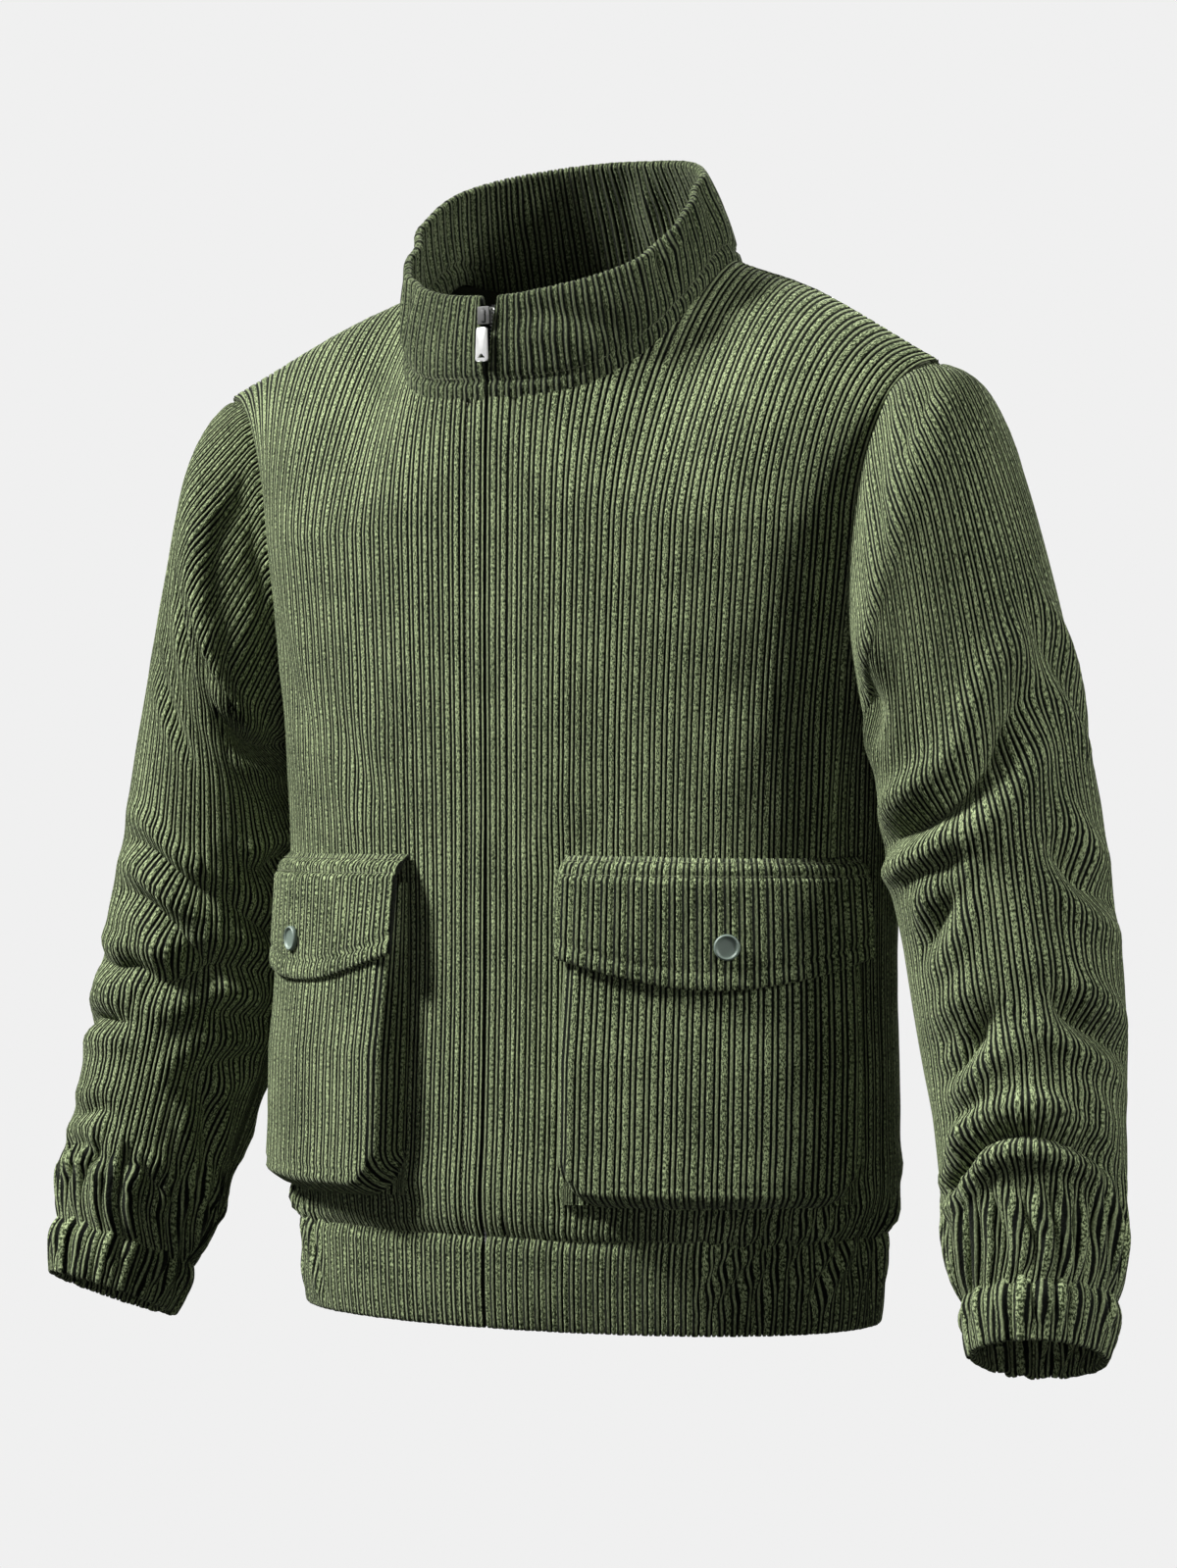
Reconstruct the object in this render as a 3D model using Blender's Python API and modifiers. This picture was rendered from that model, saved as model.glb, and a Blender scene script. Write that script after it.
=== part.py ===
"""A corduroy blouson, worn and hollow: stand collar, concealed front zip, two bellows pockets,
set-in sleeves with gathered cuffs, and a gathered hem band.

Metres, +Z up. The front faces -Y and the wearer's left side is +X. The origin lies between the two
neck points of the shoulders, where the wearer's shoulders hold the jacket up. Each piece of cloth is
an open surface given its wall by Solidify, and neighbouring pieces stop short of each other at seams.
"""

import math

import bmesh
import bpy
import numpy as np

# Cloth and seams
WALL = 0.0018
SEAM_GAP = 0.0005
SHOULDER_GAP = 0.0010
ARMHOLE_GAP = 0.0028
COLLAR_GAP = 0.0028
COLLAR_INSET = 0.0015
LIP_GAP = 0.0010
LAYER_RISE = 0.0034

# Heights of the body, from the neck points down
HEM_SEAM_Z = -0.608
HEM_EDGE_Z = -0.660
ARMHOLE_MID_Z = -0.170
ARMHOLE_PIT_Z = -0.300

# How finely each form is read and how many points each piece keeps
SECTION_STEPS = 91
SHARE_STEPS = 201
COLUMN_STEPS = 60
YOKE_STEPS = 40
RIM_STEPS = 80
LOW_ROWS = 13
YOKE_ROWS = 8
ARMHOLE_STEPS = 14
BAND_COLUMNS = 10
SLEEVE_AROUND = 24

# Columns of a half body, as shares of three stretches: neckline, shoulder, side
NECK_COLUMNS = (0.0, 0.3, 0.58, 0.8, 0.93, 0.98, 1.0)
SHOULDER_COLUMNS = 6
SIDE_COLUMNS = (0.08, 0.22, 0.42, 0.68, 1.0)
NECK_LOOP_SHARES = (*np.linspace(0.0, 0.9, 12), 0.93, 0.955, 0.975, 0.99, 1.0)

# Widths of the body, from the middle outwards
NECK_HALF = 0.101
ACROSS_HALF = 0.216
SHOULDER_LEAN = 0.046
FRONT_NECK_Z = -0.089
BACK_NECK_Z = -0.006
BODY_MIDDLE_Y = -0.010

# Body sections: height, half width, depth in front, depth behind, front power, back power
TORSO = (
    (-0.660, 0.197, 0.119, 0.088, 2.1, 2.5),
    (-0.608, 0.201, 0.121, 0.092, 2.1, 2.5),
    (-0.590, 0.207, 0.124, 0.097, 2.1, 2.5),
    (-0.540, 0.209, 0.122, 0.100, 2.1, 2.5),
    (-0.450, 0.208, 0.119, 0.099, 2.1, 2.5),
    (-0.300, 0.211, 0.119, 0.102, 2.3, 2.5),
    (-0.170, 0.226, 0.119, 0.102, 2.4, 2.5),
)

# Shoulder line: distance from the middle, height, set forward, front roundness, back roundness
SHOULDER = (
    (0.000, 0.030, -0.004, 3.2, 2.2),
    (0.060, 0.015, -0.004, 2.0, 2.2),
    (0.101, 0.000, -0.005, 1.45, 2.1),
    (0.180, -0.031, -0.018, 1.6, 2.1),
    (0.262, -0.073, -0.034, 2.0, 2.1),
)

# Collar rim: how far forward, height
COLLAR_RIM = (
    (-0.126, -0.030),
    (-0.111, -0.021),
    (-0.084, -0.004),
    (-0.062, 0.018),
    (-0.032, 0.045),
    (0.000, 0.061),
    (0.022, 0.069),
)
RIM_MIDDLE_Y = -0.052
RIM_HALF = 0.098
RIM_DEPTH = 0.073
COLLAR_BULGE = 0.002
COLLAR_ROWS = (0.0, 0.2, 0.6, 1.0)
COLLAR_STEPS = 19
COLLAR_OPEN = 0.0055

# Sleeve rings: outer x, outer z, inner x, inner z, middle y, half depth, forward tip in degrees
SLEEVE = (
    (0.277, -0.087, 0.221, -0.303, -0.016, 0.072, 0.0),
    (0.293, -0.124, 0.222, -0.316, -0.013, 0.074, 0.0),
    (0.309, -0.175, 0.222, -0.333, -0.010, 0.073, 0.0),
    (0.325, -0.235, 0.222, -0.354, -0.008, 0.072, 2.0),
    (0.340, -0.300, 0.226, -0.386, -0.008, 0.071, 4.0),
    (0.353, -0.370, 0.236, -0.425, -0.010, 0.068, 6.0),
    (0.366, -0.440, 0.248, -0.475, -0.016, 0.064, 9.0),
    (0.374, -0.505, 0.262, -0.530, -0.024, 0.060, 13.0),
    (0.380, -0.560, 0.275, -0.580, -0.036, 0.056, 16.0),
    (0.384, -0.605, 0.286, -0.620, -0.046, 0.052, 18.0),
    (0.381, -0.627, 0.297, -0.641, -0.052, 0.046, 20.0),
)
CUFF = (
    (0.384, -0.629, 0.297, -0.643, -0.053, 0.047, 20.0),
    (0.384, -0.644, 0.300, -0.657, -0.057, 0.046, 20.0),
    (0.382, -0.659, 0.304, -0.671, -0.061, 0.043, 20.0),
)

# Pockets, in distance around the front from the middle, and in height
POCKET_INNER = 0.058
POCKET_OUTER = 0.240
POCKET_TOP_Z = -0.388
POCKET_BOTTOM_Z = -0.582
POCKET_DEPTH = 0.024
POCKET_SHARE_MIDDLE = 0.55
POCKET_SHARE_OUTER = 0.50
POCKET_SHARE_MOUTH = 0.42
POCKET_CORNER = 0.030
POCKET_EDGE = 0.008
POCKET_EDGE_POWER = 0.6
POCKET_MOUTH_PART = 0.55
POCKET_COLUMNS = (0.0, 0.02, 0.05, 0.12, 0.27, 0.5, 0.73, 0.88, 0.95, 0.98, 1.0)
POCKET_ROWS = (0.0, 0.25, 0.5, 0.7, 0.85, 0.92, 0.96, 0.982, 1.0)
FRONT_STEP = 0.002
FLAP_TOP_Z = -0.373
FLAP_END_DROP = 0.057
FLAP_MIDDLE_DROP = 0.076
FLAP_OVERHANG = 0.001
FLAP_COLUMNS = 11
FLAP_ROWS = (0.0, 0.1, 0.2, 0.45, 0.72, 1.0)
FLAP_ROLL = 0.2
FLAP_INSET = 0.012
SNAP_RADIUS = 0.008
SNAP_THICK = 0.0022
SNAP_RISE = 0.024
SNAP_SHARE = 0.54

# Zip
TAPE_WIDTH = 0.013
TAPE_THICK = 0.0009
TAPE_BEHIND = 0.0042
TAPE_FOOT_RISE = 0.004
TAPE_TOP_DROP = 0.002
TAPE_COLLAR_Z = -0.060
TAPE_LEAN = 0.0015
TAPE_PARTING = 0.3
SLIDER_TOP_Z = -0.034
SLIDER_LENGTH = 0.011
SLIDER_WIDTH = 0.0085
SLIDER_THICK = 0.0035
SLIDER_FRONT_Y = -0.1335
TAB_WIDTH = 0.0088
TAB_LENGTH = 0.021
TAB_THICK = 0.0016
TAB_PIVOT_Z = -0.0480
TAB_PIVOT_INSET = 0.001
METAL_EDGE = 0.0004
TAB_SLOT_WIDTH = 0.0040
TAB_SLOT_HEIGHT = 0.0018
TAB_SLOT_UP = 0.0036

MIRROR = np.array([-1.0, 1.0, 1.0])

OLIVE = (0.085, 0.115, 0.045)
OLIVE_DARK = (0.070, 0.095, 0.038)
SNAP_GREY = (0.155, 0.205, 0.170)
TAPE_BLACK = (0.012, 0.012, 0.013)
SILVER = (0.70, 0.70, 0.69)


def clear_scene():
    """Removes whatever the scene starts with."""
    for old in list(bpy.data.objects):
        bpy.data.objects.remove(old, do_unlink=True)


def make_collection(name):
    collection = bpy.data.collections.new(name)
    bpy.context.scene.collection.children.link(collection)
    return collection


def make_material(name, colour, roughness, metallic=0.0):
    material = bpy.data.materials.new(name)
    material.use_nodes = True
    shader = material.node_tree.nodes["Principled BSDF"]
    shader.inputs["Base Color"].default_value = (*colour, 1.0)
    shader.inputs["Roughness"].default_value = roughness
    shader.inputs["Metallic"].default_value = metallic
    return material


def eased(table, key):
    """Values of a table at a key: a smooth curve through its rows, level beyond both ends."""
    rows = np.array(sorted(table), float)
    keys, values = rows[:, 0], rows[:, 1:]
    slopes = np.gradient(values, keys, axis=0)
    key = min(max(key, keys[0]), keys[-1])
    low = min(int(np.searchsorted(keys, key, side="right")) - 1, len(keys) - 2)
    span = keys[low + 1] - keys[low]
    part = (key - keys[low]) / span
    rest = 1.0 - part
    return (
        values[low] * (1 + 2 * part) * rest**2
        + values[low + 1] * (1 + 2 * rest) * part**2
        + slopes[low] * span * part * rest**2
        - slopes[low + 1] * span * rest * part**2
    )


def running_length(points):
    """Length along a polyline at each of its points."""
    steps = np.linalg.norm(np.diff(points, axis=0), axis=1)
    return np.concatenate([[0.0], np.cumsum(steps)])


def read_along(points, wanted):
    """Points of a polyline at these lengths along it."""
    along = running_length(points)
    return np.stack([np.interp(wanted, along, points[:, axis]) for axis in range(3)], axis=1)


def resampled(points, count):
    """The polyline as count points, evenly spaced along it."""
    return read_along(points, np.linspace(0.0, running_length(points)[-1], count))


def on_side(points, mirrored):
    """The points, on the wearer's left as they are made or mirrored to the right."""
    return points * MIRROR if mirrored else points


def section_sizes(height, side):
    """Depth, roundness and half width of the body at a height, in front (-1) or behind (1)."""
    half, front, back, front_power, back_power = eased(TORSO, height)
    return (front, front_power, half) if side < 0 else (back, back_power, half)


def section_line(height, side):
    """A quarter of the body's section, from the middle to the side seam."""
    depth, power, half = section_sizes(height, side)
    turn = np.linspace(0.0, math.pi / 2, SECTION_STEPS)
    across = half * np.sin(turn) ** (2 / power)
    away = BODY_MIDDLE_Y + side * depth * np.cos(turn) ** (2 / power)
    return np.stack([across, away, np.full(SECTION_STEPS, height)], axis=1)


def section_length(height, side):
    """Length of that quarter."""
    return float(running_length(section_line(height, side))[-1])


def section_point(height, share, side):
    """A point of the body's section: share runs from the middle (0) to the side seam (1)."""
    line = section_line(height, side)
    return read_along(line, [share * running_length(line)[-1]])[0]


def share_at(across, side):
    """The share of the section at mid-armhole height whose point lies this far from the middle."""
    shares = np.linspace(0.0, 1.0, SHARE_STEPS)
    reached = [section_point(ARMHOLE_MID_Z, share, side)[0] for share in shares]
    return float(np.interp(across, reached, shares))


def neckline_height(across, side):
    """Height of the neckline, lowest at the middle and nought at the neck points."""
    if side < 0:
        return FRONT_NECK_Z * (1 - min(across / NECK_HALF, 1.0) ** 4.0) ** 0.45
    return BACK_NECK_Z * (1 - min(across / NECK_HALF, 1.0) ** 2.5) ** 0.5


def yoke_column(share, side, steps=YOKE_STEPS):
    """One upright line of the body above mid-armhole, up to the neckline or the shoulder seam."""
    foot = section_point(ARMHOLE_MID_Z, share, side)
    lean = SHOULDER_LEAN * (foot[0] / ACROSS_HALF) ** 4
    top, forward, front_power, back_power = eased(SHOULDER, foot[0] + lean)
    power = front_power if side < 0 else back_power
    rise = top - ARMHOLE_MID_Z
    if foot[0] < NECK_HALF:
        reach = (neckline_height(foot[0], side) - ARMHOLE_MID_Z) / rise
        last = math.asin(min(reach, 1.0) ** (power / 2))
    else:
        last = math.pi / 2
    turn = np.linspace(0.0, last, steps)
    across = foot[0] + lean * (turn / (math.pi / 2)) ** 1.5
    away = forward + (foot[1] - forward) * np.cos(turn) ** (2 / power)
    height = ARMHOLE_MID_Z + rise * np.sin(turn) ** (2 / power)
    return np.stack([across, away, height], axis=1)


def armhole_height(share, armhole_share):
    """Height of the armhole's lower edge, falling from mid-armhole to the underarm."""
    part = min(max((share - armhole_share) / (1 - armhole_share), 0.0), 1.0)
    return ARMHOLE_MID_Z - (ARMHOLE_MID_Z - ARMHOLE_PIT_Z) * math.sqrt(1 - (1 - part) ** 2)


def trimmed(points, at_start, at_end):
    """A polyline with a length cut off each end."""
    along = running_length(points)
    last = along[-1] - at_end
    kept = along[(along > at_start) & (along < last)]
    return read_along(points, [at_start, *kept, last])


def body_shares(side, first, last):
    """Shares of the columns: crowded near the neck point, even elsewhere."""
    neck, armhole = share_at(NECK_HALF, side), share_at(ACROSS_HALF, side)
    inner = first + (neck - first) * np.array(NECK_COLUMNS)
    middle = np.linspace(neck, armhole, SHOULDER_COLUMNS)[1:]
    outer = armhole + (last - armhole) * np.array(SIDE_COLUMNS)
    return np.concatenate([inner, middle, outer]), armhole


def body_half(side, first_gap, mirrored):
    """Two grids of one half of the front or back: the part below mid-armhole, and the yoke above."""
    length = section_length(ARMHOLE_MID_Z, side)
    shares, armhole = body_shares(side, first_gap / length, 1 - SEAM_GAP / length)
    below, above = [], []
    for share in shares:
        top = armhole_height(share, armhole)
        column = np.array(
            [section_point(height, share, side) for height in np.linspace(HEM_SEAM_Z, top, COLUMN_STEPS)]
        )
        top_gap = ARMHOLE_GAP if share > armhole else 0.0
        below.append(resampled(trimmed(column, SEAM_GAP, top_gap), LOW_ROWS))
        if share <= armhole:
            above.append(resampled(trimmed(yoke_column(share, side), 0.0, SHOULDER_GAP), YOKE_ROWS))
    return on_side(np.array(below), mirrored), on_side(np.array(above), mirrored)


def add_grid(cloth, grid, known, close=False):
    """Adds a grid's faces to a bmesh, sharing points that are already there."""
    columns, rows = grid.shape[:2]

    def vertex(column, row):
        key = tuple(np.round(grid[column, row], 6))
        if key not in known:
            known[key] = cloth.verts.new(grid[column, row])
        return known[key]

    for column in range(columns if close else columns - 1):
        following = (column + 1) % columns
        for row in range(rows - 1):
            low = [vertex(column, row), vertex(following, row)]
            high = [vertex(following, row + 1), vertex(column, row + 1)]
            cloth.faces.new(list(dict.fromkeys(low + high)))


def object_from(name, mesh_source, material, collection):
    """Turns a bmesh into an object with one material."""
    mesh = bpy.data.meshes.new(name)
    mesh_source.to_mesh(mesh)
    mesh_source.free()
    mesh.materials.append(material)
    mesh.shade_smooth()
    made = bpy.data.objects.new(name, mesh)
    collection.objects.link(made)
    return made


def add_wall(made, thickness):
    """Gives a surface its thickness, half to each side."""
    shell = made.modifiers.new("wall", "SOLIDIFY")
    shell.thickness = thickness
    shell.offset = 0.0
    return made


def cloth_piece(name, grids, material, collection, close=False, thickness=WALL):
    """One cut piece: its grids sewn together, closed into a tube if asked, and given a wall."""
    cloth = bmesh.new()
    known = {}
    for grid in grids:
        add_grid(cloth, grid, known, close)
    bmesh.ops.recalc_face_normals(cloth, faces=cloth.faces)
    return add_wall(object_from(name, cloth, material, collection), thickness)


def armhole_loop(side_sign):
    """The armhole's edge, from the underarm round the front, over the shoulder and down the back."""
    loop = []
    for side in (-1, 1):
        armhole = share_at(ACROSS_HALF, side)
        shares = np.linspace(1.0, armhole, ARMHOLE_STEPS)
        low = np.array([section_point(armhole_height(share, armhole), share, side) for share in shares])
        loop.append(np.concatenate([low, yoke_column(armhole, side)[1:]]))
    return on_side(np.concatenate([loop[0], loop[1][::-1][1:]]), side_sign < 0)


def sleeve_ring(row, side_sign, around=SLEEVE_AROUND):
    """One ring of a sleeve or cuff, from the underarm round the front."""
    outer_x, outer_z, inner_x, inner_z, middle_y, depth, tip = row
    outer, inner = np.array([outer_x, outer_z]), np.array([inner_x, inner_z])
    middle, reach = (outer + inner) / 2, (outer - inner) / 2
    front = np.array([0.0, -math.cos(math.radians(tip)), math.sin(math.radians(tip))])
    turn = np.linspace(0.0, 2 * math.pi, around, endpoint=False)[:, None]
    side = np.array([reach[0], 0.0, reach[1]])
    ring = np.array([middle[0], middle_y, middle[1]]) - side * np.cos(turn) + front * depth * np.sin(turn)
    return on_side(ring, side_sign < 0)


def sleeve_grid(side_sign):
    """The sleeve's rings, the first one following the armhole at the seam gap."""
    loop = armhole_loop(side_sign)
    start = resampled(loop, SLEEVE_AROUND + 1)[:-1]
    first = sleeve_ring(SLEEVE[0], side_sign)
    step = first - start
    start = start + ARMHOLE_GAP * step / np.linalg.norm(step, axis=1, keepdims=True)
    rings = [start] + [sleeve_ring(row, side_sign) for row in SLEEVE]
    return np.array(rings).transpose(1, 0, 2)


def cuff_grid(side_sign):
    """The cuff's rings."""
    return np.array([sleeve_ring(row, side_sign) for row in CUFF]).transpose(1, 0, 2)


def neck_loop():
    """The neckline's edge over one half, from the front middle to the back middle."""
    half = []
    for side in (-1, 1):
        neck = share_at(NECK_HALF, side)
        tops = [yoke_column(share, side)[-1] for share in neck * np.array(NECK_LOOP_SHARES)]
        half.append(np.array(tops))
    return np.concatenate([half[0], half[1][::-1][1:]])


def rim_loop(count):
    """The collar's rim over one half, from the front middle to the back middle."""
    turn = np.linspace(0.0, math.pi, count)
    away = RIM_MIDDLE_Y - RIM_DEPTH * np.cos(turn)
    height = np.array([eased(COLLAR_RIM, y)[0] for y in away])
    return np.stack([RIM_HALF * np.sin(turn), away, height], axis=1)


def collar_grid():
    """Both halves of the collar, from the front lip to the back middle and round to the other lip."""
    low = resampled(neck_loop(), COLLAR_STEPS)
    high = resampled(rim_loop(RIM_STEPS), COLLAR_STEPS)
    rows = []
    for part in COLLAR_ROWS:
        row = low + (high - low) * part
        outward = row - np.array([0.0, RIM_MIDDLE_Y, 0.0])
        outward[:, 2] = 0.0
        outward /= np.linalg.norm(outward, axis=1, keepdims=True)
        row += outward * (COLLAR_BULGE * math.sin(math.pi * part) - COLLAR_INSET * (1 - part))
        rows.append(row)
    grid = np.array(rows).transpose(1, 0, 2)
    rise = grid[:, 1] - grid[:, 0]
    grid[:, 0] += rise / np.linalg.norm(rise, axis=1, keepdims=True) * COLLAR_GAP
    opening = LIP_GAP / 2 + (COLLAR_OPEN - LIP_GAP / 2) * np.array(COLLAR_ROWS) ** 1.5
    grid[0, :, 0] = opening
    return grid, grid[::-1] * MIRROR


def band_grid(side, first, last, mirrored):
    """Half of the hem band in front or behind, from one gap to the other."""
    length = section_length(HEM_SEAM_Z, side)
    shares = np.linspace(first / length, 1 - last / length, BAND_COLUMNS)
    heights = (HEM_SEAM_Z - SEAM_GAP, (HEM_SEAM_Z + HEM_EDGE_Z) / 2, HEM_EDGE_Z)
    grid = np.array([[section_point(height, share, side) for height in heights] for share in shares])
    return on_side(grid, mirrored)


def front_point(around, height, rise):
    """A point of the front, this far round from the middle, moved out from the cloth."""
    length = section_length(height, -1)
    point = section_point(height, around / length, -1)
    ahead = section_point(height, min(around + FRONT_STEP, length) / length, -1)
    behind = section_point(height, max(around - FRONT_STEP, 0.0) / length, -1)
    along = ahead - behind
    out = np.array([along[1], -along[0], 0.0])
    return point + out / np.linalg.norm(out) * rise


def pocket_rise(around, height):
    """How far the pocket stands out: nothing at its edges, its full depth inside, less at the mouth."""
    side = min(around - POCKET_INNER, POCKET_OUTER - around)
    low = height - POCKET_BOTTOM_Z
    if side < POCKET_CORNER and low < POCKET_CORNER:
        edge = POCKET_CORNER - math.hypot(POCKET_CORNER - side, POCKET_CORNER - low)
    else:
        edge = min(side, low)
    bulge = min(max(edge, 0.0) / POCKET_EDGE, 1.0) ** POCKET_EDGE_POWER
    part = (around - POCKET_INNER) / (POCKET_OUTER - POCKET_INNER)
    share = 1.0 - (1.0 - POCKET_SHARE_OUTER) * part
    share -= (share - POCKET_SHARE_MIDDLE) * math.sin(math.pi * min(max(part, 0.0), 1.0)) ** 2
    down = (POCKET_TOP_Z - height) / (POCKET_TOP_Z - POCKET_BOTTOM_Z)
    share *= POCKET_SHARE_MOUTH + (1.0 - POCKET_SHARE_MOUTH) * min(down / POCKET_MOUTH_PART, 1.0)
    return LAYER_RISE + POCKET_DEPTH * bulge * share


def pocket_grid(mirrored):
    """The bag of a pocket: its face and, round three sides, its gusset."""
    across = POCKET_INNER + (POCKET_OUTER - POCKET_INNER) * np.array(POCKET_COLUMNS)
    heights = POCKET_TOP_Z - (POCKET_TOP_Z - POCKET_BOTTOM_Z) * np.array(POCKET_ROWS)
    grid = [
        [front_point(around, height, pocket_rise(around, height)) for height in heights] for around in across
    ]
    return on_side(np.array(grid), mirrored)


def flap_grid(mirrored):
    """A flap: sewn flat to the front along its top, rolling out over the bag below."""
    first, last = POCKET_INNER - FLAP_OVERHANG, POCKET_OUTER + FLAP_OVERHANG
    grid = []
    for part in np.linspace(0.0, 1.0, FLAP_COLUMNS):
        around = first + (last - first) * part
        drop = FLAP_END_DROP + (FLAP_MIDDLE_DROP - FLAP_END_DROP) * math.sin(math.pi * part)
        column = []
        for down in FLAP_ROWS:
            height = FLAP_TOP_Z - drop * down
            inside = min(max(around, POCKET_INNER + FLAP_INSET), POCKET_OUTER - FLAP_INSET)
            under = pocket_rise(inside, min(height, POCKET_TOP_Z)) + LAYER_RISE
            rolled = min(down / FLAP_ROLL, 1.0) ** POCKET_EDGE_POWER
            column.append(front_point(around, height, LAYER_RISE + (under - LAYER_RISE) * rolled))
        grid.append(column)
    return on_side(np.array(grid), mirrored)


def tape_grid(side_sign):
    """One zip tape: up the front, then up inside the collar to its top."""
    heights = np.linspace(HEM_EDGE_Z + TAPE_FOOT_RISE, ARMHOLE_MID_Z, 8)
    front = [section_point(height, 0.0, -1) for height in heights]
    yoke = list(yoke_column(0.0, -1, 6)[1:])
    top = eased(COLLAR_RIM, COLLAR_RIM[0][0])[0] - TAPE_TOP_DROP
    collar = [np.array([0.0, RIM_MIDDLE_Y - RIM_DEPTH, height]) for height in (TAPE_COLLAR_Z, top)]
    line = np.array(front + yoke + collar)
    line[:, 1] += TAPE_BEHIND
    inner = line + np.array([side_sign * LIP_GAP * TAPE_PARTING, 0.0, 0.0])
    outer = line + np.array([side_sign * TAPE_WIDTH, TAPE_LEAN, 0.0])
    return np.array([inner, outer])


def box_piece(name, size, centre, material, collection, bevel=METAL_EDGE):
    """A block with softened edges."""
    solid = bmesh.new()
    bmesh.ops.create_cube(solid, size=1.0)
    bmesh.ops.scale(solid, vec=size, verts=solid.verts)
    made = object_from(name, solid, material, collection)
    made.location = centre
    edge = made.modifiers.new("edge", "BEVEL")
    edge.width = bevel
    edge.segments = 2
    return made


def make_slider(material, collection):
    """The slider's body, between the lips at the top of the zip."""
    size = (SLIDER_WIDTH, SLIDER_THICK, SLIDER_LENGTH)
    centre = (0.0, SLIDER_FRONT_Y + SLIDER_THICK / 2, SLIDER_TOP_Z - SLIDER_LENGTH / 2)
    return box_piece("zip_slider", size, centre, material, collection)


def make_tab(material, collection, cutters):
    """The pull tab hangs from an empty on its hinge axis, in front of the slider."""
    pivot = bpy.data.objects.new("pull_tab_pivot", None)
    pivot.location = (0.0, SLIDER_FRONT_Y - TAB_THICK / 2 - SEAM_GAP, TAB_PIVOT_Z)
    collection.objects.link(pivot)
    plate = (TAB_WIDTH, TAB_THICK, TAB_LENGTH)
    tab = box_piece("pull_tab", plate, (0.0, 0.0, TAB_PIVOT_INSET - TAB_LENGTH / 2), material, collection)
    tab.parent = pivot
    hole = (TAB_SLOT_WIDTH, TAB_THICK * 3, TAB_SLOT_HEIGHT)
    hole_z = TAB_PIVOT_INSET - TAB_LENGTH + TAB_SLOT_UP
    cutter = box_piece("slot_cutter", hole, (0.0, 0.0, hole_z), material, cutters)
    cutter.modifiers.clear()
    cutter.parent = pivot
    cutter.hide_render = True
    cutter.display_type = "WIRE"
    slot = tab.modifiers.new("slot", "BOOLEAN")
    slot.object = cutter
    slot.operation = "DIFFERENCE"
    return tab


def make_snap(name, mirrored, material, collection):
    """A snap's cap, standing on the flap and facing straight out from it."""
    around = POCKET_INNER + (POCKET_OUTER - POCKET_INNER) * SNAP_SHARE
    height = FLAP_TOP_Z - FLAP_MIDDLE_DROP + SNAP_RISE
    rise = pocket_rise(around, height) + LAYER_RISE + WALL + SNAP_THICK
    base, above = front_point(around, height, rise), front_point(around, height, rise + 1.0)
    cap = bmesh.new()
    bmesh.ops.create_cone(
        cap, cap_ends=True, segments=20, radius1=SNAP_RADIUS, radius2=SNAP_RADIUS, depth=SNAP_THICK
    )
    made = object_from(name, cap, material, collection)
    out = above - base
    made.location = on_side(base, mirrored)
    lean = math.atan2(out[0], -out[1])
    made.rotation_euler = (math.pi / 2, 0.0, -lean if mirrored else lean)
    return made


def main():
    """Builds every piece."""
    clear_scene()
    jacket = make_collection("corduroy_jacket")
    cutters = make_collection("cutters")
    cutters.hide_render = True
    corduroy = make_material("corduroy", OLIVE, 0.9)
    pocket_cloth = make_material("pocket_corduroy", OLIVE_DARK, 0.9)
    tape = make_material("zip_tape", TAPE_BLACK, 0.8)
    silver = make_material("silver_metal", SILVER, 0.25, 1.0)
    cap = make_material("snap_cap", SNAP_GREY, 0.55)

    for name, side_sign in (("left", 1), ("right", -1)):
        mirrored = side_sign < 0
        cloth_piece(f"front_{name}", body_half(-1, LIP_GAP / 2, mirrored), corduroy, jacket)
        cloth_piece(f"sleeve_{name}", [sleeve_grid(side_sign)], corduroy, jacket, close=True)
        cloth_piece(f"cuff_{name}", [cuff_grid(side_sign)], corduroy, jacket, close=True)
        band = band_grid(-1, LIP_GAP / 2, SEAM_GAP, mirrored)
        cloth_piece(f"hem_front_{name}", [band], corduroy, jacket)
        cloth_piece(f"pocket_{name}", [pocket_grid(mirrored)], pocket_cloth, jacket)
        cloth_piece(f"flap_{name}", [flap_grid(mirrored)], corduroy, jacket)
        cloth_piece(f"zip_tape_{name}", [tape_grid(side_sign)], tape, jacket, thickness=TAPE_THICK)
        make_snap(f"snap_{name}", mirrored, cap, jacket)
    cloth_piece("back", [*body_half(1, 0.0, False), *body_half(1, 0.0, True)], corduroy, jacket)
    bands = [band_grid(1, 0.0, SEAM_GAP, mirrored) for mirrored in (False, True)]
    cloth_piece("hem_back", bands, corduroy, jacket)
    cloth_piece("collar", collar_grid(), corduroy, jacket)
    make_slider(silver, jacket)
    make_tab(silver, jacket, cutters)


main()
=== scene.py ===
"""Looks of the corduroy blouson: cloth with its wales and creases, stitches, zip, snaps, studio.

Every cut piece is a thin shell on the form of its solid. Columns of each shell follow the wales, so the
ribs are real relief, and creases are laid in cloth coordinates (metres across, metres along).
"""

import logging
import math
from dataclasses import dataclass
from enum import Enum
from typing import Iterable, Sequence

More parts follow.
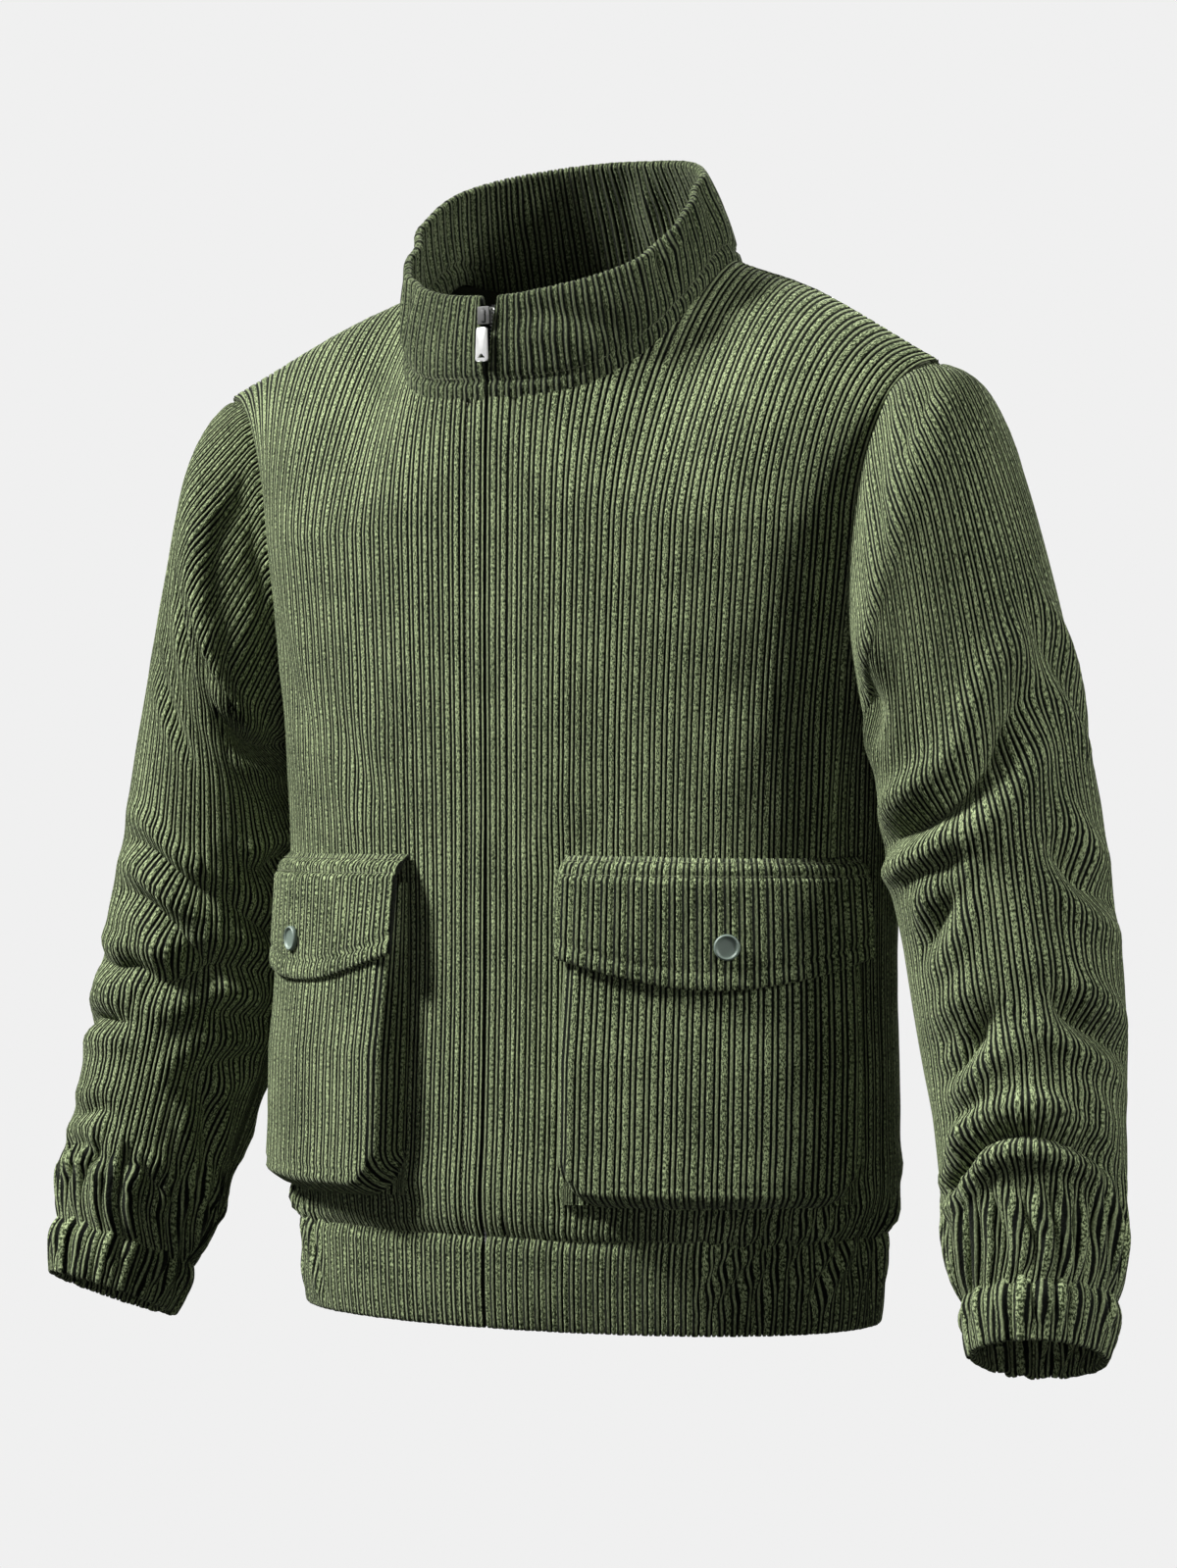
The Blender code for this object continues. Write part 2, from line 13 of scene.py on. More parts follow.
import bmesh
import bpy
import numpy as np
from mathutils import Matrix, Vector


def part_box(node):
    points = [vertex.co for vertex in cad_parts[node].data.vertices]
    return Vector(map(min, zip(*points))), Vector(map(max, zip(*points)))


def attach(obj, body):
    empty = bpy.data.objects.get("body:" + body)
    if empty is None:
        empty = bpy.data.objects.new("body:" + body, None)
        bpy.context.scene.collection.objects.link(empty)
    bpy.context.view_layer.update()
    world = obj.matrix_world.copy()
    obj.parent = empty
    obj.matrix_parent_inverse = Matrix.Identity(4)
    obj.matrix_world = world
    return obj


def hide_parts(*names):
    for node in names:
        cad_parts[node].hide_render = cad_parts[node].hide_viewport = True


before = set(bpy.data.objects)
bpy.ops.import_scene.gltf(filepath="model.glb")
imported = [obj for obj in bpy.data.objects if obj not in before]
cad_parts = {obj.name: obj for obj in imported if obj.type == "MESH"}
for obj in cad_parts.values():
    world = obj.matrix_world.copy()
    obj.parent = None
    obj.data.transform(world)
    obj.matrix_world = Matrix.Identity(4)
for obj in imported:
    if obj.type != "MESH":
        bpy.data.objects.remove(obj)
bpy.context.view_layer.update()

LOG = logging.getLogger("jacket")
Array = np.ndarray
Triple = tuple[float, float, float]
Colour = Triple
Table = tuple[tuple[float, ...], ...]
Rows = tuple[tuple[int, ...], ...]

MIRROR = np.array([-1.0, 1.0, 1.0])
PITCH = 0.0078
THIN_WALE = 0.0048
WALE_STEPS = (0.0, 0.0006, 0.0022, 0.0041, THIN_WALE, 0.0055, 0.0070)
WALE_HEIGHTS = (0.0, 0.88, 1.0, 0.90, 0.0, 0.92, 0.86)
WALE_RELIEF = 0.0013
WALE_UNEVEN = 0.14
EDGE_PILE = 0.25
SEAM_PILE = 0.4
MIDDLE_PILE = 0.9
LEAST_GAP = 0.0004
SEAM_GAP = 0.0003
STITCH_PRESS = 0.8
VALLEY_POWER = 1.5
SHOULDER_AT = 1.7
SHOULDER_WIDTH = 0.85
SLIDE_REACH = 1.3
SLIDE_EASE = 0.6
CLOTH_WALL = 0.0016
DOUBLE_HALF = 0.0011
BODY_AXIS_Y = -0.010


class Side(Enum):
    """Which half of the body a piece belongs to, front or back."""

    FRONT = -1
    BACK = 1


class Hand(Enum):
    """The wearer's left or right."""

    LEFT = 1
    RIGHT = -1

    def of(self, name: str) -> str:
        """The name of a piece on this side."""
        return f"{name}_{self.name.lower()}"


class Slot(Enum):
    """Material slots of the record."""

    CORDUROY = "corduroy"
    ZIP_TAPE = "zip_tape"
    SNAP_CAP = "snap_cap"
    SILVER = "silver_metal"


# ---- Arithmetic on grids of points


def eased(table: Table, key: float) -> Array:
    """Values of a table at a key, on a smooth curve through its rows.

    Args:
        table: rows of a key followed by values, in rising order of key.
        key: where to read; it is held inside the table's ends.

    Returns:
        The values at that key.
    """
    rows = np.array(sorted(table), float)
    keys, values = rows[:, 0], rows[:, 1:]
    slopes = np.gradient(values, keys, axis=0)
    key = min(max(key, keys[0]), keys[-1])
    low = min(int(np.searchsorted(keys, key, side="right")) - 1, len(keys) - 2)
    span = keys[low + 1] - keys[low]
    part = (key - keys[low]) / span
    rest = 1.0 - part
    return (
        values[low] * (1 + 2 * part) * rest**2
        + values[low + 1] * (1 + 2 * rest) * part**2
        + slopes[low] * span * part * rest**2
        - slopes[low + 1] * span * rest * part**2
    )


def lengths_along(points: Array) -> Array:
    """Running length of a polyline, starting at nought."""
    steps = np.linalg.norm(np.diff(points, axis=0), axis=1)
    return np.concatenate([[0.0], np.cumsum(steps)])


def read_along(points: Array, wanted: Array) -> Array:
    """Points of a polyline at given running lengths."""
    along = lengths_along(points)
    return np.stack([np.interp(wanted, along, points[:, axis]) for axis in range(3)], axis=1)


def resampled(points: Array, count: int) -> Array:
    """The polyline as count points, evenly spaced along it."""
    return read_along(points, np.linspace(0.0, lengths_along(points)[-1], count))


def unit(vectors: Array) -> Array:
    """The vectors, each made one long."""
    return vectors / np.maximum(np.linalg.norm(vectors, axis=-1, keepdims=True), 1e-12)


def in_rows(values: Array, count: int) -> Array:
    """A grid whose rows hold the values, the same for each of count columns."""
    return np.repeat(values[None, :], count, axis=0)


def in_columns(values: Array, count: int) -> Array:
    """A grid whose columns hold the values, the same for each of count rows."""
    return np.repeat(values[:, None], count, axis=1)


def smooth_step(value: Array, low: float, high: float) -> Array:
    """Nought below low, one above high, and an easy rise between."""
    part = np.clip((value - low) / (high - low), 0.0, 1.0)
    return part * part * (3 - 2 * part)


def lattice_noise(across: Array, along: Array, seed: int) -> Array:
    """Smooth noise between -1 and 1.

    Args:
        across: first coordinate, one unit a cell.
        along: second coordinate, of the same shape.
        seed: picks the pattern.

    Returns:
        The noise at each place.
    """
    cells = 64
    table = np.random.default_rng(seed).uniform(-1.0, 1.0, (cells, cells))
    column, row = np.floor(across).astype(int), np.floor(along).astype(int)
    part, rise = across - column, along - row
    part, rise = part * part * (3 - 2 * part), rise * rise * (3 - 2 * rise)
    left, right, lower, upper = column % cells, (column + 1) % cells, row % cells, (row + 1) % cells
    low = table[left, lower] * (1 - part) + table[right, lower] * part
    high = table[left, upper] * (1 - part) + table[right, upper] * part
    return low * (1 - rise) + high * rise


class Lattice:
    """A coarse grid of points read smoothly between its knots."""

    def __init__(self, knots: Array, wraps: bool = False) -> None:
        """Keeps the knots with one more row and column beyond each edge.

        Args:
            knots: points, as (columns, rows, 3).
            wraps: whether the last column is followed by the first.
        """
        self.columns, self.rows = knots.shape[:2]
        self.wraps = wraps
        if wraps:
            wide = np.concatenate([knots[-1:], knots, knots[:2]])
        else:
            wide = np.concatenate([2 * knots[:1] - knots[1:2], knots, 2 * knots[-1:] - knots[-2:-1]])
        before, after = 2 * wide[:, :1] - wide[:, 1:2], 2 * wide[:, -1:] - wide[:, -2:-1]
        self.knots = np.concatenate([before, wide, after], axis=1)

    @staticmethod
    def _weights(part: Array) -> tuple[Array, Array, Array, Array]:
        """Catmull-Rom weights at a part of the middle span.

        Args:
            part: how far through the span, from nought to one.

        Returns:
            The weight of each of the four knots.
        """
        square, cube = part**2, part**3
        return (
            (-cube + 2 * square - part) / 2,
            (3 * cube - 5 * square + 2) / 2,
            (-3 * cube + 4 * square + part) / 2,
            (cube - square) / 2,
        )

    def read(self, column: Array, row: Array) -> Array:
        """Points at fractional columns and rows.

        Args:
            column: fractional column index, any shape.
            row: fractional row index, the same shape.

        Returns:
            Points, with one more axis of three.
        """
        last = self.columns if self.wraps else self.columns - 1
        column = np.mod(column, last) if self.wraps else np.clip(column, 0, last)
        row = np.clip(row, 0, self.rows - 1)
        first = np.minimum(np.floor(column).astype(int), last - 1)
        level = np.minimum(np.floor(row).astype(int), self.rows - 2)
        across, along = self._weights(column - first), self._weights(row - level)
        found = np.zeros((*np.shape(column), 3))
        for i in range(4):
            for j in range(4):
                found += (across[i] * along[j])[..., None] * self.knots[first + i, level + j]
        return found


def grid_normals(points: Array, wraps: bool) -> Array:
    """Unit normals of a grid of points.

    Args:
        points: the grid, as (columns, rows, 3).
        wraps: whether the last column is followed by the first.

    Returns:
        One unit vector for each point, all on one side of the grid.
    """
    if wraps:
        padded = np.concatenate([points[-1:], points, points[:1]])
        across = np.gradient(padded, axis=0)[1:-1]
    else:
        across = np.gradient(points, axis=0)
    return unit(np.cross(across, np.gradient(points, axis=1)))


# ---- Cloth: wales, creases and shells


@dataclass(frozen=True)
class Wales:
    """Columns of a piece across its wales, with the height of the pile on each."""

    across: Array
    pile: Array
    seams: Array
    start: float = 0.0

    @classmethod
    def over(cls, width: float, start: float = 0.0, middle: float | None = None) -> "Wales":
        """Lays columns over a width of cloth.

        Args:
            width: the cloth's width in metres.
            start: where in the repeat the first column falls.
            middle: a place that must be a column too, such as an armhole's edge.

        Returns:
            The columns.
        """
        first = math.floor(-start / PITCH) - 1
        places: list[tuple[float, float, int]] = []
        for repeat in range(first, math.ceil((width - start) / PITCH) + 1):
            for step, height in zip(WALE_STEPS, WALE_HEIGHTS):
                places.append((start + repeat * PITCH + step, height, int(step == 0.0)))
        inner = [place for place in places if LEAST_GAP < place[0] < width - LEAST_GAP]
        if middle is not None:
            inner = [place for place in inner if abs(place[0] - middle) > SEAM_GAP]
            inner.append((middle, SEAM_PILE, 1))
        rows = sorted([(0.0, EDGE_PILE, 1), *inner, (width, EDGE_PILE, 1)])
        across, pile, seams = (np.array(values) for values in zip(*rows))
        return cls(across, pile, np.flatnonzero(seams), start)


@dataclass(frozen=True)
class Crease:
    """A valley pressed into the cloth along a line, with the cloth puffed up beside it."""

    line: tuple[tuple[float, float], ...]
    depth: float
    width: float
    puff: float = 0.5
    lean: float = 0.0
    ends: float = 0.8

    @classmethod
    def table(cls, rows: Rows) -> "tuple[Crease, ...]":
        """Creases from rows of whole numbers.

        Args:
            rows: depth and width in tenths of a millimetre, puff in hundredths, lean in tenths of a
                millimetre, then the line's places in millimetres, across and along in turn.

        Returns:
            One crease for each row.
        """
        made = []
        for depth, width, puff, lean, *line in rows:
            places = tuple((x / 1000, y / 1000) for x, y in zip(line[::2], line[1::2]))
            made.append(cls(places, depth / 10000, width / 10000, puff / 100, lean / 10000))
        return tuple(made)

    def path(self) -> Array:
        """The line as a smooth run of points.

        Returns:
            The points, as (count, 2).
        """
        knots = np.array([(x, y, 0.0) for x, y in self.line])[:, None, :]
        if len(knots) == 1:
            return np.repeat(knots[:, 0], 2, axis=0)
        lattice = Lattice(np.concatenate([knots, knots], axis=1))
        steps = np.linspace(0, len(knots) - 1, 5 * len(knots) + 1)
        return lattice.read(steps, np.zeros_like(steps))[:, :2]

    def measure(self, across: Array, along: Array) -> tuple[Array, Array, Array]:
        """How each place lies to the line.

        Args:
            across: cloth coordinate across the wales.
            along: cloth coordinate along them.

        Returns:
            The signed distance, the share of the way along the line, and the direction away from it.
        """
        path = self.path()
        nearest = np.full(across.shape, np.inf)
        share, signed = np.zeros(across.shape), np.zeros(across.shape)
        away = np.zeros((*across.shape, 2))
        for number, (start, stop) in enumerate(zip(path[:-1], path[1:])):
            step = stop - start
            size = max(float(np.hypot(*step)), 1e-9)
            unit = step / size
            dx, dy = across - start[0], along - start[1]
            reach = np.clip((dx * unit[0] + dy * unit[1]) / size, 0.0, 1.0)
            gap_x, gap_y = dx - reach * step[0], dy - reach * step[1]
            distance = np.hypot(gap_x, gap_y)
            closer = distance < nearest
            side = dx * unit[1] - dy * unit[0]
            nearest = np.where(closer, distance, nearest)
            share = np.where(closer, (number + reach) / (len(path) - 1), share)
            signed = np.where(closer, np.sign(side) * distance, signed)
            away[closer] = np.array([unit[1], -unit[0]])
        return signed, share, away

    def press(self, across: Array, along: Array) -> tuple[Array, Array]:
        """The crease's move of each place.

        Args:
            across: cloth coordinate across the wales.
            along: cloth coordinate along them.

        Returns:
            The lift along the normal, and the slide within the cloth as (across, along).
        """
        signed, share, away = self.measure(across, along)
        strength = np.sin(np.pi * np.clip(share, 0.02, 0.98)) ** self.ends
        near = np.abs(signed) / self.width
        valley = np.exp(-(near**VALLEY_POWER))
        shoulder = np.exp(-(((near - SHOULDER_AT) / SHOULDER_WIDTH) ** 2))
        lift = self.depth * strength * (self.puff * shoulder - valley)
        beyond = smooth_step(signed / self.width, -SLIDE_EASE, SLIDE_EASE)
        slide = -self.lean * strength * np.exp(-((near / SLIDE_REACH) ** 2)) * beyond
        return lift, slide[..., None] * away


@dataclass(frozen=True)
class Groove:
    """A line of stitching along one row or one column, which presses the pile flat."""

    place: float
    along_wales: bool = False
    depth: float = 0.0009
    width: float = 0.0013
    from_end: bool = False

    def distance(self, across: Array, along: Array) -> Array:
        """How far each place of a piece lies from the line.

        Args:
            across: cloth coordinate across the wales.
            along: cloth coordinate along them.

        Returns:
            The signed distances.
        """
        where = across if self.along_wales else along
        if self.from_end:
            last = across.max() if self.along_wales else along.max(axis=1, keepdims=True)
            where = last - where
        return where - self.place


@dataclass(frozen=True)
class Gathers:
    """A row of short uneven puckers that stand on a seam."""

    first: float
    last: float
    foot: float
    reach: float
    step: float
    depth: float
    width: float
    slant: float = 0.0
    seed: int = 1

    def creases(self) -> tuple[Crease, ...]:
        """The puckers, which start beyond the seam and fade into the cloth.

        Returns:
            One crease for each.
        """
        random = np.random.default_rng(self.seed)
        made: list[Crease] = []
        place = self.first
        while place < self.last:
            reach = self.reach * random.uniform(0.45, 1.25)
            lean = self.slant * random.uniform(0.4, 1.5) + random.uniform(-0.18, 0.18)
            start = (place - 0.5 * lean * reach, self.foot - 0.5 * reach)
            middle = (place + 0.5 * lean * reach, self.foot + 0.5 * reach)
            stop = (place + (lean + random.uniform(-0.2, 0.2)) * reach, self.foot + reach)
            depth = self.depth * random.uniform(0.5, 1.35)
            width = self.width * random.uniform(0.75, 1.3)
            made.append(Crease((start, middle, stop), depth, width, 0.7))
            place += self.step * random.uniform(0.55, 1.5)
        return tuple(made)


class Cloth:
    """A cut piece of corduroy: its grid of points, its creases and the shell made from them."""

    def __init__(
        self,
        name: str,
        wales: Wales,
        along: Array,
        middle: Array,
        wraps: bool = False,
        tops: Array | None = None,
    ) -> None:
        """Keeps the piece's flat coordinates and its place.

        Args:
            name: the piece's name.
            wales: the columns; a tube's last column is its first one again, and is left out.
            along: cloth coordinate along the wales, as (columns, rows).
            middle: points half way through the cloth, as (columns, rows, 3).
            wraps: whether the piece is a tube.
            tops: the last row of each span between seams; the whole grid if left out.
        """
        self.name, self.wales, self.along, self.middle, self.wraps = name, wales, along, middle, wraps
        spans = len(wales.seams) - 1
        self.tops = np.full(spans, middle.shape[1] - 1) if tops is None else tops
        self.columns = middle.shape[0]
        self.across = in_columns(wales.across[: self.columns], middle.shape[1])
        self.pile = in_columns(wales.pile[: self.columns], middle.shape[1])
        self.turn = 1.0
        if wraps:
            reference = middle.mean(axis=0, keepdims=True)
        else:
            reference = middle * np.array([0.0, 0.0, 1.0]) + np.array([0.0, BODY_AXIS_Y, 0.0])
        if (grid_normals(middle, wraps) * (middle - reference)).sum() < 0:
            self.turn = -1.0

    def normals(self) -> Array:
        """Outward unit normals of the middle surface."""
        return grid_normals(self.middle, self.wraps) * self.turn

    def crease(self, creases: Iterable[Crease]) -> "Cloth":
        """Presses creases into the piece, one after another.

        Args:
            creases: the creases, in cloth coordinates.

        Returns:
            The piece itself.
        """
        lift = np.zeros(self.across.shape)
        slide = np.zeros((*self.across.shape, 2))
        for crease in creases:
            rise, shift = crease.press(self.across, self.along)
            lift += rise
            slide += shift
        normals = self.normals()
        run = unit(np.gradient(self.middle, axis=1))
        run = run * np.sign(np.gradient(self.along, axis=1))[..., None]
        side = np.cross(run, normals)
        if float((side[:-1] * np.diff(self.middle, axis=0)).sum()) < 0:
            side = -side
        self.middle = self.middle + normals * lift[..., None] + side * slide[..., :1] + run * slide[..., 1:]
        return self

    def gather(self, rows: Iterable[Gathers]) -> "Cloth":
        """Puckers the piece along its gathered seams.

        Args:
            rows: the rows of puckers.

        Returns:
            The piece itself.
        """
        return self.crease([crease for row in rows for crease in row.creases()])

    def ruffle(self, size: float, cell: float, seed: int) -> "Cloth":
        """Moves the surface in and out a little, as slack cloth does.

        Args:
            size: the most it moves.
            cell: the width of one swell; each is longer than it is wide.
            seed: picks the pattern.

        Returns:
            The piece itself.
        """
        noise = lattice_noise(self.across / cell, self.along / (1.7 * cell), seed)
        self.middle = self.middle + self.normals() * (size * noise)[..., None]
        return self

    def flat(self) -> Array:
        """The cloth's own coordinates, with a repeat of the wales starting at nought."""
        return np.stack([np.abs(self.across) - self.wales.start, self.along], axis=2)

    def relief(self, grooves: Sequence[Groove]) -> Array:
        """Height of the pile everywhere, uneven from wale to wale and pressed flat under stitches.

        Args:
            grooves: the lines of stitching.

        Returns:
            The height at each place.
        """
        uneven = lattice_noise(self.across / PITCH * 2, self.along / 0.016, 3)
        height = self.pile * WALE_RELIEF * (1 + WALE_UNEVEN * uneven)
        for groove in grooves:
            near = np.exp(-((groove.distance(self.across, self.along) / groove.width) ** 2))
            height = height * (1 - STITCH_PRESS * near) - groove.depth * near
        return height

    def line(self, places: Array, lift: float = 0.0007) -> Array:
        """Points on the outer face.

        Args:
            places: cloth coordinates (across, along) of each point.
            lift: height above the cloth's face.

        Returns:
            The points in space.
        """
        columns = self.wales.across[: self.columns]
        column = np.interp(places[:, 0], columns, np.arange(len(columns)))
        nearest = np.clip(np.round(column).astype(int), 0, len(columns) - 1)
        row = np.empty(len(places))
        for number, (index, height) in enumerate(zip(nearest, places[:, 1])):
            heights = self.along[index]
            order = np.argsort(heights)
            row[number] = np.interp(height, heights[order], np.arange(len(heights))[order])
        face = Lattice(self.middle + self.normals() * (CLOTH_WALL / 2 + lift), self.wraps)
        return face.read(column, row)


def placed(name: str, data: bpy.types.ID) -> bpy.types.Object:
    """Makes an object and links it to the scene.

    Args:
        name: its name.
        data: its mesh, light or camera.

    Returns:
        The object.
    """
    made = bpy.data.objects.new(name, data)
    bpy.context.scene.collection.objects.link(made)
    return made


class Shell:
    """Collects the points and faces of one closed thin piece."""

    def __init__(self, name: str) -> None:
        """Starts an empty piece.

        Args:
            name: the piece's name.
        """
        self.name = name
        self.points: list[Array] = []
        self.count = 0
        self.faces: list[list[int]] = []
        self.quads: list[Array] = []
        self.flat: list[Array] = []
        self.insides: list[Array] = []

    def add_points(self, points: Array, flat: Array, inside: float) -> Array:
        """Adds a grid of points.

        Args:
            points: places, as (columns, rows, 3).
            flat: cloth coordinates, as (columns, rows, 2).
            inside: one on the cloth's reverse, nought on its face.

        Returns:
            The index of each point.
        """
        size = points.shape[0] * points.shape[1]
        indices = np.arange(self.count, self.count + size).reshape(points.shape[:2])
        self.points.append(points.reshape(-1, 3))
        self.flat.append(flat.reshape(-1, 2))
        self.insides.append(np.full(size, inside))
        self.count += size
        return indices

    def add_quads(self, indices: Array, wraps: bool = False) -> None:
        """Adds the faces of a grid, shown from the side its columns and rows turn to.

        Args:
            indices: the points' indices, as (columns, rows).
            wraps: whether the last column is joined to the first.
        """
        if wraps:
            indices = np.concatenate([indices, indices[:1]])
        corners = (indices[:-1, :-1], indices[1:, :-1], indices[1:, 1:], indices[:-1, 1:])
        self.quads.append(np.stack([corner.ravel() for corner in corners], axis=1))

    def finish(self, material: bpy.types.Material) -> bpy.types.Object:
        """Makes the mesh object, with its faces turned outwards.

        Args:
            material: what it is made of.

        Returns:
            The object, linked to the scene.
        """
        points = np.concatenate(self.points)
        flat, insides = np.concatenate(self.flat), np.concatenate(self.insides)
        faces = [face for quads in self.quads for face in quads.tolist()] + self.faces
        starts = np.cumsum([0, *(len(face) for face in faces[:-1])])
        loops = np.fromiter((corner for face in faces for corner in face), dtype=np.int32)
        mesh = bpy.data.meshes.new(self.name)
        mesh.vertices.add(len(points))
        mesh.vertices.foreach_set("co", points.ravel())
        mesh.loops.add(len(loops))
        mesh.loops.foreach_set("vertex_index", loops)
        mesh.polygons.add(len(faces))
        mesh.polygons.foreach_set("loop_start", starts)
        mesh.update(calc_edges=True)
        layer = mesh.uv_layers.new(name="cloth")
        layer.data.foreach_set("uv", flat[loops].ravel())
        attribute = mesh.attributes.new("inside", "FLOAT", "POINT")
        attribute.data.foreach_set("value", insides)
        mesh.materials.append(material)
        mesh.shade_smooth()
        mesh.validate()
        if signed_volume(mesh) < 0:
            mesh.flip_normals()
        LOG.info("%s: %d faces", self.name, len(mesh.polygons))
        return placed(self.name, mesh)


def signed_volume(mesh: bpy.types.Mesh) -> float:
    """Volume of a closed mesh, negative if its faces look inwards.

    Args:
        mesh: the mesh.

    Returns:
        The volume in cubic metres.
    """
    mesh.calc_loop_triangles()
    corners = np.empty(len(mesh.loop_triangles) * 3, np.int32)
    mesh.loop_triangles.foreach_get("vertices", corners)
    points = np.empty(len(mesh.vertices) * 3, np.float32)
    mesh.vertices.foreach_get("co", points)
    a, b, c = points.reshape(-1, 3).astype(float)[corners.reshape(-1, 3)].transpose(1, 0, 2)
    return float((a * np.cross(b, c)).sum()) / 6


def single_shell(cloth: Cloth, grooves: Sequence[Groove], material: bpy.types.Material) -> bpy.types.Object:
    """One ply of cloth: wales on its face, and a plain reverse with one span for each wale.

    Args:
        cloth: the piece.
        grooves: lines of stitching across it.
        material: its cloth.

    Returns:
        The closed shell.
    """
    normals = cloth.normals()
    face = cloth.middle + normals * (CLOTH_WALL / 2 + cloth.relief(grooves))[..., None]
    back = cloth.middle - normals * (CLOTH_WALL / 2)
    flat = cloth.flat()
    seams = cloth.wales.seams
    shell = Shell(f"{cloth.name}_cloth")
    outer = shell.add_points(face, flat, 0.0)
    kept = seams[:-1] if cloth.wraps else seams
    inner = shell.add_points(back[kept], flat[kept], 1.0)
    spans = len(seams) - 1
    for span in range(spans):
        first, last, top = seams[span], seams[span + 1], int(cloth.tops[span])
        columns = np.arange(first, last + 1) % cloth.columns
        left, right = inner[span], inner[(span + 1) % len(kept)]
        shell.add_quads(outer[columns, : top + 1])
        shell.add_quads(np.stack([right[: top + 1], left[: top + 1]]))
        shell.faces.append([right[0], *outer[columns[::-1], 0], left[0]][::-1])
        shell.faces.append([left[top], *outer[columns, top], right[top]][::-1])
    if not cloth.wraps:
        heights = np.concatenate([[0], cloth.tops, [0]])
        for number in range(spans + 1):
            low, high = sorted((heights[number], heights[number + 1]))
            column = seams[number]
            strip = np.stack([inner[number, low : high + 1], outer[column, low : high + 1]])
            rising = heights[number + 1] > heights[number]
            if high > low:
                shell.add_quads(strip if rising else strip[::-1])
    return shell.finish(material)


def double_shell(
    cloth: Cloth, grooves: Sequence[Groove], material: bpy.types.Material, half: float = DOUBLE_HALF
) -> bpy.types.Object:
    """Cloth folded on itself at its last row, with wales on both faces and round the fold.

    Args:
        cloth: the piece.
        grooves: lines of stitching across it.
        material: its cloth.
        half: half the thickness of both plies.

    Returns:
        The closed shell.
    """
    middle, along, normals = cloth.middle, cloth.along, cloth.normals()
    reach = (half + cloth.relief(grooves))[..., None]
    forward = unit(middle[:, -1] - middle[:, -2])
    turns = np.radians([36.0, 72.0, 108.0, 144.0])
    bend = [
        middle[:, -1] + (normals[:, -1] * math.cos(turn) + forward * math.sin(turn)) * reach[:, -1]
        for turn in turns
    ]
    face, reverse = middle + normals * reach, middle - normals * reach
    rows = np.concatenate([face, np.stack(bend, axis=1), reverse[:, ::-1]], axis=1)
    step = np.sign(along[:, -1:] - along[:, -2:-1]) * half
    round_edge = along[:, -1:] + step * np.arange(1, len(turns) + 1)[None, :]
    back = round_edge[:, -1:] + np.sign(step) * np.abs(along[:, ::-1] - along[:, -1:]) + step
    flat_along = np.concatenate([along, round_edge, back], axis=1)
    flat_across = in_columns(cloth.wales.across[: cloth.columns], rows.shape[1])
    shell = Shell(f"{cloth.name}_cloth")
    indices = shell.add_points(rows, np.stack([flat_across, flat_along], axis=2), 0.0)
    shell.add_quads(indices, cloth.wraps)
    shell.add_quads(np.stack([indices[:, -1], indices[:, 0]], axis=1), cloth.wraps)
    if not cloth.wraps:
        half_way = rows.shape[1] // 2
        for column, turned in ((0, True), (cloth.columns - 1, False)):
            pair = np.stack([indices[column, :half_way], indices[column, ::-1][:half_way]])
            shell.add_quads(pair[::-1] if turned else pair)
    return shell.finish(material)


# ---- Forms: the same sections as the solids, read densely


